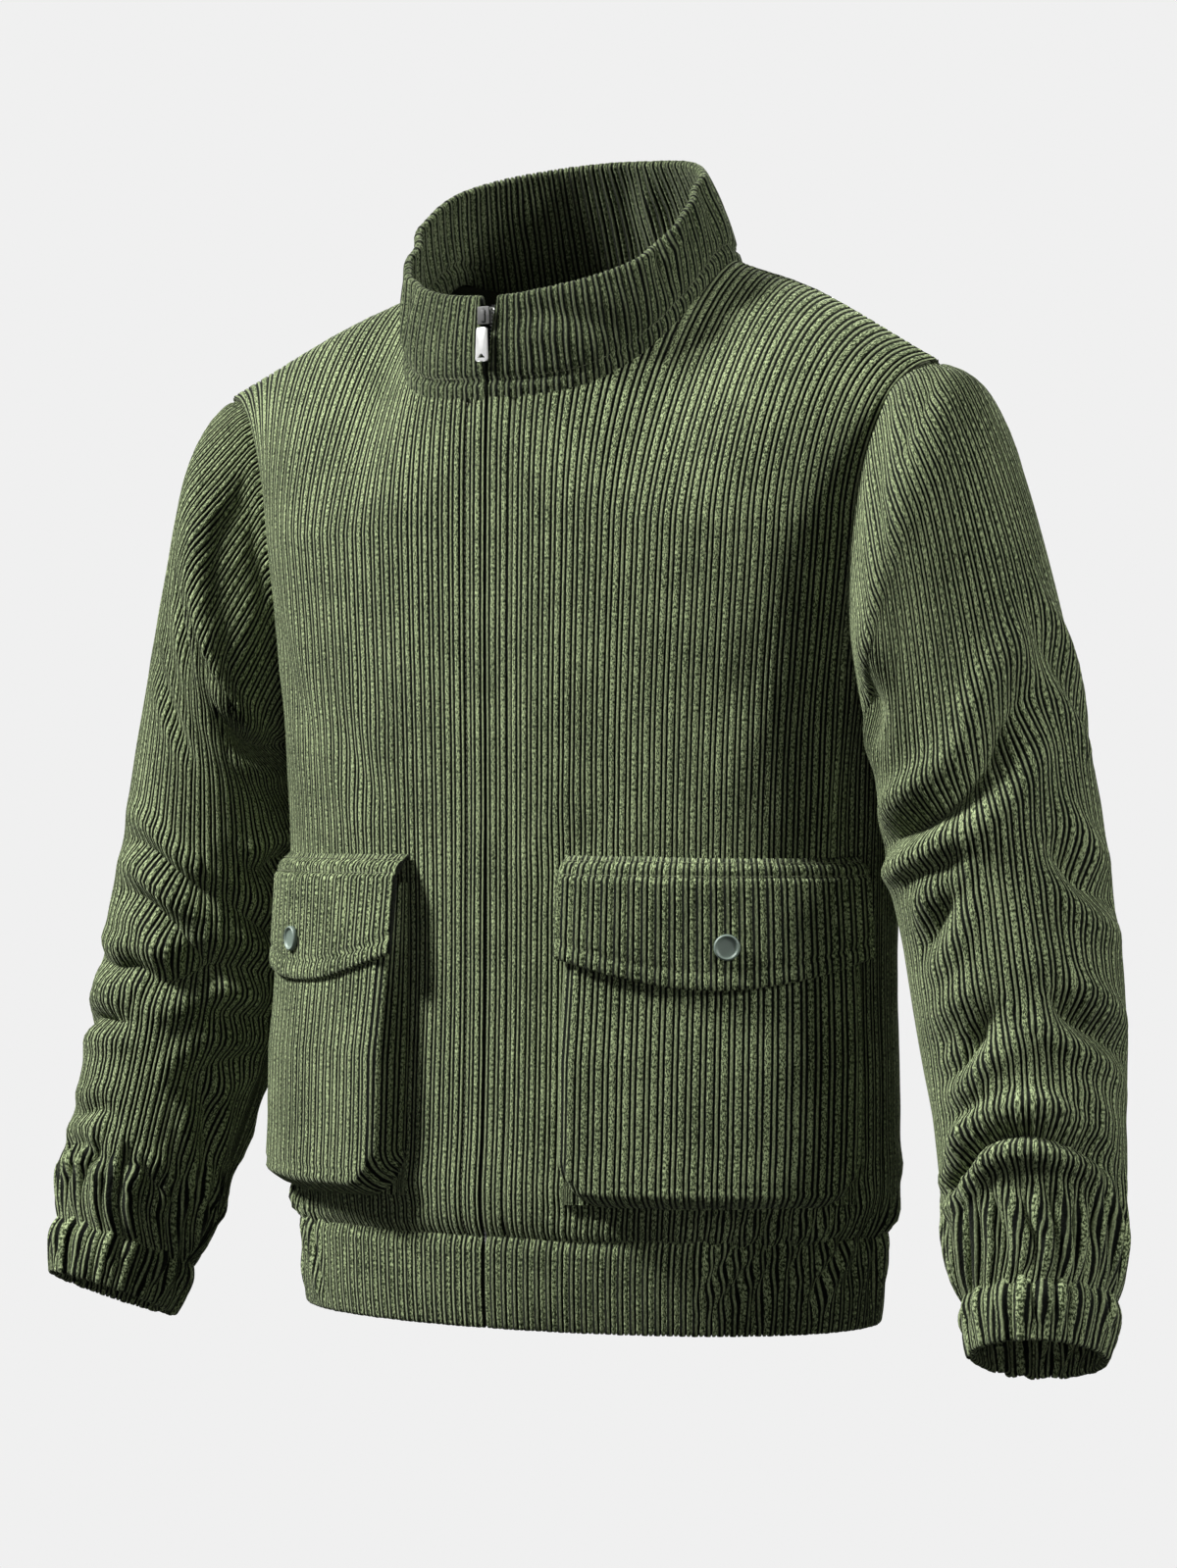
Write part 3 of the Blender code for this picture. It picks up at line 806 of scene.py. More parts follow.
@dataclass(frozen=True)
class BodyForm:
    """The torso and the yoke: level sections below mid-armhole, upright lines above it."""

    hem_z: float = -0.608
    edge_z: float = -0.660
    armhole_z: float = -0.170
    pit_z: float = -0.300
    neck_half: float = 0.101
    across_half: float = 0.216
    shoulder_lean: float = 0.046
    front_neck_z: float = -0.089
    back_neck_z: float = -0.006
    torso: Table = (
        (-0.660, 0.197, 0.119, 0.088, 2.1, 2.5),
        (-0.608, 0.201, 0.121, 0.092, 2.1, 2.5),
        (-0.590, 0.207, 0.124, 0.097, 2.1, 2.5),
        (-0.540, 0.209, 0.122, 0.100, 2.1, 2.5),
        (-0.450, 0.208, 0.119, 0.099, 2.1, 2.5),
        (-0.300, 0.211, 0.119, 0.102, 2.3, 2.5),
        (-0.170, 0.226, 0.119, 0.102, 2.4, 2.5),
    )
    shoulder: Table = (
        (0.000, 0.030, -0.004, 3.2, 2.2),
        (0.060, 0.015, -0.004, 2.0, 2.2),
        (0.101, 0.000, -0.005, 1.45, 2.1),
        (0.180, -0.031, -0.018, 1.6, 2.1),
        (0.262, -0.073, -0.034, 2.0, 2.1),
    )

    def section(self, height: float, side: Side) -> Array:
        """The body's half section at a height, as a fine polyline from the middle to the side seam.

        Args:
            height: where to cut it.
            side: front or back.

        Returns:
            The points, as (count, 3).
        """
        half, front, back, front_power, back_power = eased(self.torso, height)
        depth, power = (front, front_power) if side is Side.FRONT else (back, back_power)
        turn = np.linspace(0.0, math.pi / 2, 181)
        across = half * np.sin(turn) ** (2 / power)
        away = BODY_AXIS_Y + side.value * depth * np.cos(turn) ** (2 / power)
        return np.stack([across, away, np.full(181, height)], axis=1)

    def girth(self, height: float, side: Side) -> float:
        """Length of the half section at a height."""
        return float(lengths_along(self.section(height, side))[-1])

    def point(self, height: float, share: float, side: Side) -> Array:
        """One point of a section, share of the way from the middle to the side seam."""
        line = self.section(height, side)
        return read_along(line, np.array([share]) * lengths_along(line)[-1])[0]

    def share_of(self, across: float, side: Side) -> float:
        """Share of the mid-armhole section that lies this far from the middle.

        Args:
            across: distance from the middle.
            side: front or back.

        Returns:
            The share, from nought to one.
        """
        line = self.section(self.armhole_z, side)
        along = lengths_along(line)
        return float(np.interp(across, line[:, 0], along / along[-1]))

    def walls(self, side: Side, columns: int = 61, rows: int = 70) -> Lattice:
        """The half body below mid-armhole: columns by share, rows by height from the hem edge up.

        Args:
            side: front or back.
            columns: knots from the middle to the side seam.
            rows: knots from the hem's edge up.

        Returns:
            The knots.
        """
        heights = np.linspace(self.edge_z, self.armhole_z, rows)
        grid = [resampled(self.section(height, side), columns) for height in heights]
        return Lattice(np.array(grid).transpose(1, 0, 2))

    def neckline(self, across: float, side: Side) -> float:
        """Height of the neckline this far from the middle.

        Args:
            across: distance from the middle.
            side: front or back.

        Returns:
            The height.
        """
        part = min(across / self.neck_half, 1.0)
        if side is Side.FRONT:
            return self.front_neck_z * (1 - part**4.0) ** 0.45
        return self.back_neck_z * (1 - part**2.5) ** 0.5

    def yoke_line(self, share: float, side: Side, steps: int = 60) -> Array:
        """One upright line above mid-armhole, up to the neckline or the shoulder seam.

        Args:
            share: share of the section it stands on.
            side: front or back.
            steps: how many points.

        Returns:
            The points, as (steps, 3).
        """
        foot = self.point(self.armhole_z, share, side)
        lean = self.shoulder_lean * (foot[0] / self.across_half) ** 4
        top, forward, front_power, back_power = eased(self.shoulder, foot[0] + lean)
        power = front_power if side is Side.FRONT else back_power
        rise = top - self.armhole_z
        last = math.pi / 2
        if foot[0] < self.neck_half:
            reach = (self.neckline(foot[0], side) - self.armhole_z) / rise
            last = math.asin(min(reach, 1.0) ** (power / 2))
        turn = np.linspace(0.0, last, steps)
        across = foot[0] + lean * (turn / (math.pi / 2)) ** 1.5
        away = forward + (foot[1] - forward) * np.cos(turn) ** (2 / power)
        height = self.armhole_z + rise * np.sin(turn) ** (2 / power)
        return np.stack([across, away, height], axis=1)

    def armhole_top(self, share: float, armhole: float) -> float:
        """Height of the lower armhole's edge at a share of the section beyond the armhole's own."""
        part = min(max((share - armhole) / (1 - armhole), 0.0), 1.0)
        return self.armhole_z - (self.armhole_z - self.pit_z) * math.sqrt(1 - (1 - part) ** 2)

    def armhole_loop(self, hand: Hand) -> Array:
        """The armhole's edge, from the underarm round the front, over the shoulder and down the back.

        Args:
            hand: which side.

        Returns:
            The closed line's points.
        """
        loop = []
        for side in (Side.FRONT, Side.BACK):
            armhole = self.share_of(self.across_half, side)
            shares = np.linspace(1.0, armhole, 24)
            low = [self.point(self.armhole_top(share, armhole), share, side) for share in shares]
            loop.append(np.concatenate([low, self.yoke_line(armhole, side)[1:]]))
        whole = np.concatenate([loop[0], loop[1][::-1][1:]])
        return whole * np.array([hand.value, 1.0, 1.0])

    def neck_half_loop(self) -> Array:
        """The neckline over one half, from the front middle to the back middle.

        Returns:
            The points, as (count, 3).
        """
        half = []
        for side in (Side.FRONT, Side.BACK):
            neck = self.share_of(self.neck_half, side)
            shares = neck * (1 - np.linspace(1.0, 0.0, 40) ** 2.2)
            half.append(np.array([self.yoke_line(share, side)[-1] for share in shares]))
        return np.concatenate([half[0], half[1][::-1][1:]])


# ---- Cut pieces of the jacket


def mirrored(points: Array, hand: Hand) -> Array:
    """The points, turned to the wearer's right if asked."""
    return points * np.array([float(hand.value), 1.0, 1.0])


class Body:
    """The two fronts and the back, which share one form."""

    def __init__(self, form: BodyForm) -> None:
        """Reads the form's walls once for both sides.

        Args:
            form: the torso and the yoke.
        """
        self.form = form
        self.low_rows = {Side.FRONT: 96, Side.BACK: 78}
        self.yoke_rows = {Side.FRONT: 46, Side.BACK: 40}
        self.walls = {side: form.walls(side) for side in Side}
        self.widths = {side: form.girth(form.armhole_z, side) for side in Side}
        self.armholes = {side: form.share_of(form.across_half, side) for side in Side}

    def columns(self, side: Side, across: Array) -> tuple[Array, Array]:
        """Upright columns of one half.

        Args:
            side: front or back.
            across: cloth distance of each column from the middle.

        Returns:
            The points and the cloth coordinate along, as (columns, rows, 3) and (columns, rows).
        """
        form, walls, armhole = self.form, self.walls[side], self.armholes[side]
        points, along = [], []
        for share in across / self.widths[side]:
            top = form.armhole_top(share, armhole)
            heights = np.linspace(form.hem_z, top, self.low_rows[side])
            level = (heights - form.edge_z) / (form.armhole_z - form.edge_z) * (walls.rows - 1)
            low = walls.read(np.full(self.low_rows[side], share * (walls.columns - 1)), level)
            run = heights - form.hem_z
            if share <= armhole + 1e-9:
                line = resampled(form.yoke_line(share, side), self.yoke_rows[side])
                high, rise = line[1:], lengths_along(line)[1:]
            else:
                high = line[1:] + (low[-1] - line[0]) * np.array([1.0, 1.0, 0.0])
            points.append(np.concatenate([low, high]))
            along.append(np.concatenate([run, form.armhole_z - form.hem_z + rise]))
        return np.array(points), np.array(along)

    def tops(self, side: Side, wales: Wales, low: float, high: float) -> Array:
        """The last row of each span: the whole height inside the armholes, the lower rows outside.

        Args:
            side: front or back.
            wales: the columns.
            low: where the armholes' inside starts.
            high: where it ends.

        Returns:
            One row number for each span.
        """
        middles = (wales.across[wales.seams[:-1]] + wales.across[wales.seams[1:]]) / 2
        inside = (middles > low) & (middles < high)
        rows = self.low_rows[side]
        return np.where(inside, rows + self.yoke_rows[side] - 2, rows - 1)

    @staticmethod
    def tuck_hem(cloth: Cloth, reach: float = 0.013, depth: float = 0.0045) -> Cloth:
        """Turns the cloth in where the hem band gathers it.

        Args:
            cloth: a front or the back.
            reach: how far up it turns.
            depth: how far in.

        Returns:
            The same piece.
        """
        part = np.clip(1 - cloth.along / reach, 0.0, 1.0)
        cloth.middle = cloth.middle - cloth.normals() * (depth * part**1.6)[..., None]
        return cloth

    def front(self, hand: Hand) -> Cloth:
        """One front, from its lip to the side seam.

        Args:
            hand: which one.

        Returns:
            The piece.
        """
        side, width = Side.FRONT, self.widths[Side.FRONT]
        wales = Wales.over(width, 0.0031, self.armholes[side] * width)
        points, along = self.columns(side, wales.across)
        points[..., 0] += 0.0005
        tops = self.tops(side, wales, -1.0, self.armholes[side] * width)
        return Cloth(hand.of("front"), wales, along, mirrored(points, hand), tops=tops)

    def back(self) -> Cloth:
        """The back, from side seam to side seam.

        Returns:
            The piece.
        """
        side, width = Side.BACK, self.widths[Side.BACK]
        edge = self.armholes[side] * width
        half = Wales.over(width, 0.0039, edge)
        across = np.concatenate([-half.across[:0:-1], half.across])
        pile = np.concatenate([half.pile[:0:-1], half.pile])
        last = len(half.across) - 1
        pile[last] = MIDDLE_PILE
        seams = np.unique(np.concatenate([last - half.seams, last + half.seams]))
        wales = Wales(across, pile, seams, half.start)
        points, along = self.columns(side, half.across)
        middle = np.concatenate([points[:0:-1] * MIRROR, points])
        along = np.concatenate([along[:0:-1], along])
        return Cloth("back", wales, along, middle, tops=self.tops(side, wales, -edge, edge))


@dataclass(frozen=True)
class SleeveForm:
    """A set-in sleeve and its cuff, as rings tipped forward towards the hand."""

    rings: Table = (
        (0.277, -0.087, 0.221, -0.303, -0.016, 0.072, 0.0),
        (0.293, -0.124, 0.222, -0.316, -0.013, 0.074, 0.0),
        (0.309, -0.175, 0.222, -0.333, -0.010, 0.073, 0.0),
        (0.325, -0.235, 0.222, -0.354, -0.008, 0.072, 2.0),
        (0.340, -0.300, 0.226, -0.386, -0.008, 0.071, 4.0),
        (0.353, -0.370, 0.236, -0.425, -0.010, 0.068, 6.0),
        (0.366, -0.440, 0.248, -0.475, -0.016, 0.064, 9.0),
        (0.374, -0.505, 0.262, -0.530, -0.024, 0.060, 13.0),
        (0.380, -0.560, 0.275, -0.580, -0.036, 0.056, 16.0),
        (0.384, -0.605, 0.286, -0.620, -0.046, 0.052, 18.0),
        (0.381, -0.627, 0.297, -0.641, -0.052, 0.046, 20.0),
    )
    cuff: Table = (
        (0.380, -0.6245, 0.298, -0.6385, -0.051, 0.0445, 20.0),
        (0.3845, -0.633, 0.2965, -0.647, -0.054, 0.0473, 20.0),
        (0.384, -0.644, 0.2995, -0.657, -0.057, 0.0463, 20.0),
        (0.382, -0.657, 0.304, -0.6695, -0.061, 0.0430, 20.0),
    )
    around: int = 48
    cap_twist: float = 0.10
    seam_turn: float = 0.05
    inset: float = 0.0030
    under: float = 0.004
    seam: float = 0.0016
    step: float = 0.008
    step_rise: float = 0.0004
    wale_end: float = 0.965
    slack: float = 0.14
    slack_from: float = 0.30
    rows: int = 140
    cuff_rows: int = 13
    cuff_girth: float = 0.288
    cuff_height: float = 0.036

    def ring(self, row: Sequence[float], hand: Hand) -> Array:
        """One ring, from the underarm round the front.

        Args:
            row: the outer and inner points (x, z), the middle's y, the half depth and the tip in degrees.
            hand: which side.

        Returns:
            The ring's points.
        """
        outer_x, outer_z, inner_x, inner_z, middle_y, depth, tip = row
        middle = np.array([(outer_x + inner_x) / 2, middle_y, (outer_z + inner_z) / 2])
        reach = np.array([(outer_x - inner_x) / 2, 0.0, (outer_z - inner_z) / 2])
        forward = np.array([0.0, -math.cos(math.radians(tip)), math.sin(math.radians(tip))]) * depth
        turn = np.linspace(0.0, 2 * math.pi, self.around, endpoint=False)[:, None]
        return mirrored(middle - reach * np.cos(turn) + forward * np.sin(turn), hand)


class Arm:
    """A sleeve and its cuff on one side."""

    def __init__(self, body: BodyForm, form: SleeveForm, hand: Hand) -> None:
        """Places the sleeve's first rings under the armhole's edge.

        Args:
            body: the body, for its armhole.
            form: the sleeve.
            hand: which side.
        """
        self.form, self.hand = form, hand
        edge = body.armhole_loop(hand)
        turn = np.linspace(0.0, 1.0, form.around, endpoint=False)
        raised = turn + form.cap_twist * np.sin(2 * np.pi * turn)
        loop = read_along(edge, raised * lengths_along(edge)[-1])
        rings = [form.ring(row, hand) for row in form.rings]
        step, inward = unit(rings[0] - loop), unit(loop.mean(axis=0) - loop)
        under = loop - step * form.under + inward * form.inset
        seam = loop + step * form.seam + inward * form.inset
        beyond = loop + step * form.step - inward * form.step_rise
        self.knots = Lattice(np.array([under, seam, beyond, *rings]).transpose(1, 0, 2), True)

    def sleeve(self) -> Cloth:
        """The sleeve, with wales along it that run out into the underarm seam as it narrows.

        Returns:
            The piece.
        """
        knots = self.knots.knots[1 : 1 + self.form.around, 1:-1]
        closed = np.concatenate([knots, knots[:1]])
        girths = np.linalg.norm(np.diff(closed, axis=0), axis=2).sum(axis=0)
        steps = np.linalg.norm(np.diff(knots, axis=1), axis=2).mean(axis=0)
        run = np.concatenate([[0.0], np.cumsum(steps)])
        form, head = self.form, [0.0, 0.003, 0.006, 0.010, 0.014]
        along = np.concatenate([head, np.linspace(0.018, run[-1], form.rows - len(head))])
        level = np.interp(along, run, np.arange(len(run)))
        slack = 1 + form.slack * smooth_step(along, form.slack_from, run[-1])
        girth = np.interp(along, run, girths) * slack
        wales = Wales.over(float(girth.max()), 0.0)
        across = wales.across[:-1]
        place = (across[:, None] - girth.max() / 2) / (girth[None, :] / 2)
        most = girth.max() / girth[None, :]
        edge = form.wale_end
        beyond = (np.abs(place) - edge) / np.maximum(most - edge, 1e-6)
        squeezed = edge + (1 - edge) * np.clip(beyond, 0.0, 1.0)
        place = np.sign(place) * np.where(np.abs(place) < edge, np.abs(place), squeezed)
        turned = (1 + place) / 2 - form.seam_turn
        middle = self.knots.read(turned * form.around, in_rows(level, len(across)))
        cloth = Cloth(self.hand.of("sleeve"), wales, in_rows(along, len(across)), middle, True)
        cloth.pile = cloth.pile * smooth_step(edge - np.abs(place), 0.0, 0.02)
        return cloth

    def cuff(self) -> Cloth:
        """The cuff, a band round the wrist that is open at both ends.

        Returns:
            The piece.
        """
        form = self.form
        knots = Lattice(np.array([form.ring(row, self.hand) for row in form.cuff]).transpose(1, 0, 2), True)
        wales = Wales.over(math.floor(form.cuff_girth / PITCH) * PITCH, 0.0)
        across = wales.across[:-1]
        level = np.linspace(0, len(form.cuff) - 1, form.cuff_rows)
        column = across / wales.across[-1] * form.around
        middle = knots.read(in_columns(column, len(level)), in_rows(level, len(across)))
        run = np.linspace(0.0, form.cuff_height, form.cuff_rows)
        return Cloth(self.hand.of("cuff"), wales, in_rows(run, len(across)), middle, True)


@dataclass(frozen=True)
class CollarForm:
    """The stand collar: from the neckline up to its rim, low in front and high behind."""

    rim: Table = (
        (-0.126, -0.030),
        (-0.111, -0.021),
        (-0.084, -0.004),
        (-0.062, 0.018),
        (-0.032, 0.045),
        (0.000, 0.061),
        (0.022, 0.069),
    )
    rim_middle_y: float = -0.052
    rim_half: float = 0.098
    rim_depth: float = 0.073
    bulge: float = 0.0025
    inset: float = 0.0015
    opening: float = 0.0055
    sunk: float = 0.003
    lip: float = 0.0005
    rows: int = 20
    steps: int = 33

    def half(self, body: BodyForm) -> Array:
        """Knots over one half, from the front middle to the back middle.

        Args:
            body: the body, for its neckline.

        Returns:
            The knots, as (columns, rows, 3).
        """
        low = resampled(body.neck_half_loop(), self.steps)
        turn = np.linspace(0.0, math.pi, 160)
        away = self.rim_middle_y - self.rim_depth * np.cos(turn)
        height = np.array([eased(self.rim, y)[0] for y in away])
        high = resampled(np.stack([self.rim_half * np.sin(turn), away, height], axis=1), self.steps)
        low = low - unit(high - low) * self.sunk
        rows = []
        for part in np.linspace(0.0, 1.0, 7):
            row = low + (high - low) * part
            outward = row - np.array([0.0, self.rim_middle_y, 0.0])
            outward[:, 2] = 0.0
            row = row + unit(outward) * (self.bulge * math.sin(math.pi * part) - self.inset * (1 - part))
            row[0, 0] = self.lip + (self.opening - self.lip) * part**1.5
            rows.append(row)
        return np.array(rows).transpose(1, 0, 2)

    def cloth(self, body: BodyForm) -> Cloth:
        """The whole collar, from its wearer's right front edge round the back to the left.

        Args:
            body: the body, for its neckline.

        Returns:
            The piece.
        """
        half = self.half(body)
        whole = np.concatenate([half * MIRROR, half[::-1][1:]])
        knots = Lattice(whole)
        centre = whole[:, whole.shape[1] // 2]
        run = lengths_along(centre)
        wales = Wales.over(float(run[-1]), 0.0035)
        column = np.interp(wales.across, run, np.arange(len(run)))
        level = np.linspace(0, whole.shape[1] - 1, self.rows)
        middle = knots.read(in_columns(column, self.rows), in_rows(level, len(column)))
        along = np.array([lengths_along(line) for line in middle])
        return Cloth("collar", wales, along, middle)


@dataclass(frozen=True)
class BandForm:
    """The hem band: a doubled strip below the gathered hem, folded at its lower edge."""

    rows: int = 20
    tuck: float = 0.004
    puff: float = 0.0016
    sink: float = 0.0035
    sink_reach: float = 0.16

    def half(self, body: Body, side: Side, across: Array, girth: float) -> Array:
        """Points of a half band for cloth distances from the middle, from its seam down to its fold.

        Args:
            body: the body, for its walls.
            side: front or back.
            across: cloth distance of each column from the middle.
            girth: the half band's length.

        Returns:
            The points, as (columns, rows, 3).
        """
        form, walls = body.form, body.walls[side]
        heights = np.linspace(form.hem_z + self.tuck, form.edge_z + 0.0012, self.rows)
        level = (heights - form.edge_z) / (form.armhole_z - form.edge_z) * (walls.rows - 1)
        share = in_columns(across / girth * (walls.columns - 1), self.rows)
        return walls.read(share, in_rows(level, len(across)))

    def piece(self, name: str, body: Body, wales: Wales, points: Array) -> Cloth:
        """One piece of the band, sunk at its top behind the gathers and rounded out below.

        Args:
            name: the piece's name.
            body: the body, for its heights.
            wales: the columns.
            points: the flat band, as (columns, rows, 3).

        Returns:
            The piece.
        """
        run = np.linspace(0.0, body.form.hem_z + self.tuck - body.form.edge_z, self.rows)
        cloth = Cloth(name, wales, in_rows(run, len(points)), points)
        part = cloth.along / cloth.along.max()
        sunk = self.sink * np.clip(1 - part / self.sink_reach, 0.0, 1.0) ** 1.5
        rise = self.puff * np.sin(np.pi * np.clip(part, 0.0, 1.0)) - sunk
        cloth.middle = cloth.middle + cloth.normals() * rise[..., None]
        return cloth

    def front(self, body: Body, hand: Hand) -> Cloth:
        """One front piece of the band.

        Args:
            body: the body.
            hand: which one.

        Returns:
            The piece.
        """
        girth = body.form.girth(body.form.hem_z, Side.FRONT)
        wales = Wales.over(girth, 0.0031)
        points = self.half(body, Side.FRONT, wales.across, girth)
        points[..., 0] += 0.0007
        return self.piece(hand.of("hem_front"), body, wales, mirrored(points, hand))

    def back(self, body: Body) -> Cloth:
        """The back piece of the band, from side seam to side seam.

        Args:
            body: the body.

        Returns:
            The piece.
        """
        girth = body.form.girth(body.form.hem_z, Side.BACK)
        wales = Wales.over(2 * girth, 0.0020)
        offset = wales.across - girth
        points = self.half(body, Side.BACK, np.abs(offset), girth)
        points[..., 0] *= np.where(offset < 0, -1.0, 1.0)[:, None]
        return self.piece("hem_back", body, wales, points)


@dataclass(frozen=True)
class PocketForm:
    """A bellows pocket and its flap, laid round the front from the middle."""

    inner: float = 0.058
    outer: float = 0.240
    top_z: float = -0.388
    bottom_z: float = -0.582
    depth: float = 0.024
    layer: float = 0.0034
    share_middle: float = 0.55
    share_outer: float = 0.50
    share_mouth: float = 0.42
    corner: float = 0.030
    wall: float = 0.008
    flap_top_z: float = -0.373
    flap_end: float = 0.057
    flap_middle: float = 0.076
    overhang: float = 0.001
    flap_margin: float = 0.012
    flap_roll: float = 0.2
    rows: int = 74
    flap_rows: int = 30

    def rise(self, around: Array, height: Array) -> Array:
        """How far the pocket stands out from the front.

        Args:
            around: distance round the front from the middle.
            height: height of each place.

        Returns:
            The distance from the front's cloth.
        """
        side = np.minimum(around - self.inner, self.outer - around)
        low = height - self.bottom_z
        corner = self.corner - np.hypot(self.corner - side, self.corner - low)
        rounded = (side < self.corner) & (low < self.corner)
        edge = np.where(rounded, corner, np.minimum(side, low))
        bulge = np.clip(edge / self.wall, 0.0, 1.0) ** 0.6
        part = (around - self.inner) / (self.outer - self.inner)
        share = 1.0 - (1.0 - self.share_outer) * part
        share = share - (share - self.share_middle) * np.sin(np.pi * np.clip(part, 0.0, 1.0)) ** 2
        down = (self.top_z - height) / (self.top_z - self.bottom_z)
        share = share * (self.share_mouth + (1.0 - self.share_mouth) * np.minimum(down / 0.55, 1.0))
        return self.layer + self.depth * bulge * share

    @staticmethod
    def on_front(body: Body, around: Array, height: Array, rise: Array) -> Array:
        """Points this far round the front, raised level from its cloth.

        Args:
            body: the body, for its walls.
            around: distance round the front from the middle.
            height: height of each place.
            rise: distance from the front's cloth.

        Returns:
            The points.
        """
        form, walls = body.form, body.walls[Side.FRONT]
        heights = np.linspace(form.edge_z, form.armhole_z, 60)
        girths = np.array([form.girth(z, Side.FRONT) for z in heights])
        girth = np.interp(height, heights, girths)
        level = (height - form.edge_z) / (form.armhole_z - form.edge_z) * (walls.rows - 1)
        last = walls.columns - 1
        point = walls.read(around / girth * last, level)
        ahead = walls.read(np.minimum(around + 0.002, girth) / girth * last, level)
        behind = walls.read(np.maximum(around - 0.002, 0.0) / girth * last, level)
        run = ahead - behind
        out = np.stack([run[..., 1], -run[..., 0], np.zeros(around.shape)], axis=-1)
        return point + unit(out) * rise[..., None]

    def section(self) -> tuple[Array, Array]:
        """The bag's girth at mid height.

        Returns:
            Places round the front, and the length of cloth up to each.
        """
        around = np.linspace(self.inner, self.outer, 800)
        rise = self.rise(around, np.full(len(around), (self.top_z + self.bottom_z) / 2))
        steps = np.hypot(np.diff(around), np.diff(rise))
        return around, np.concatenate([[0.0], np.cumsum(steps)])

    def edges(self) -> tuple[float, float]:
        """How far the face's two edges are from the bag's own, along the cloth.

        Returns:
            The inner and the outer distance.
        """
        around, length = self.section()
        ends = np.interp([self.inner + self.wall, self.outer - self.wall], around, length)
        return float(ends[0]), float(length[-1] - ends[1])

    def pocket(self, body: Body, hand: Hand) -> Cloth:
        """The pocket's bag: its walls and its face in one shell, open at the top under the flap.

        Args:
            body: the body.
            hand: which side.

        Returns:
            The piece.
        """
        places, length = self.section()
        wales = Wales.over(float(length[-1]), 0.0022)
        drop = self.top_z - self.bottom_z
        near = np.array([0.0, 0.0006, 0.0013, 0.0022, 0.0034, 0.005, 0.007, 0.009])
        run = np.concatenate([np.linspace(0.0, drop - 0.011, self.rows - len(near)), drop - near[::-1]])
        along = in_rows(run, len(wales.across))
        around = in_columns(np.interp(wales.across, length, places), len(run))
        height = self.top_z - along
        points = self.on_front(body, around, height, self.rise(around, height))
        return Cloth(hand.of("pocket"), wales, along, mirrored(points, hand))

    def flap(self, body: Body, hand: Hand) -> Cloth:
        """The flap over the pocket's mouth, folded at its curved lower edge.

        Args:
            body: the body.
            hand: which side.

        Returns:
            The piece.
        """
        width = self.outer - self.inner + 2 * self.overhang
        wales = Wales.over(width, 0.0032)
        part = wales.across / width
        drop = self.flap_end + (self.flap_middle - self.flap_end) * np.sin(np.pi * part)
        fine = np.concatenate([np.linspace(0.0, 0.20, 11), np.linspace(0.24, 1.0, self.flap_rows - 11)])
        along = drop[:, None] * fine[None, :]
        around = in_columns(self.inner - self.overhang + wales.across, len(fine))
        height = self.flap_top_z - along
        inside = np.clip(around, self.inner + self.flap_margin, self.outer - self.flap_margin)
        under = self.rise(inside, np.minimum(height, self.top_z)) + self.layer
        rolled = np.minimum(fine / self.flap_roll, 1.0)[None, :] ** 0.6
        rise = self.layer + (under - self.layer) * rolled
        points = self.on_front(body, around, height, rise)
        return Cloth(hand.of("flap"), wales, along, mirrored(points, hand))


# ---- Shader nodes


class Maker:
    """Makes a node tree's nodes, one at a time."""

    def __init__(self, tree: bpy.types.NodeTree) -> None:
        """Works in that tree."""
        self.tree = tree

    def node(
        self, kind: str, settings: dict[str, object] | None = None, **values: object
    ) -> bpy.types.Node:
        """Makes one node.

        Args:
            kind: the node's type.
            settings: its properties.
            values: what each input holds or is linked to; a name's underscores stand for spaces,
                and i0, i1 ... stand for the inputs by number.

        Returns:
            The node.
        """
        made = self.tree.nodes.new(kind)
        for name, value in (settings or {}).items():
            setattr(made, name, value)
        for name, value in values.items():
            numbered = name[0] == "i" and name[1:].isdigit()
            self.put(made.inputs[int(name[1:])] if numbered else made.inputs[name.replace("_", " ")], value)
        return made

    def put(self, socket: bpy.types.NodeSocket, value: object) -> None:
        """Links or sets one input.

        Args:
            socket: the input.
            value: what it holds or is linked to.
        """
        if isinstance(value, Value):
            self.tree.links.new(value.socket, socket)
        elif isinstance(value, bpy.types.NodeSocket):
            self.tree.links.new(value, socket)
        elif isinstance(value, tuple) and socket.type == "RGBA":
            socket.default_value = (*value, 1.0)[:4]
        else:
            socket.default_value = value

    def value(
        self, kind: str, output: int = 0, settings: dict[str, object] | None = None, **values: object
    ) -> "Value":
        """Makes a node and gives one of its outputs as a value."""
        return Value(self, self.node(kind, settings, **values).outputs[output])


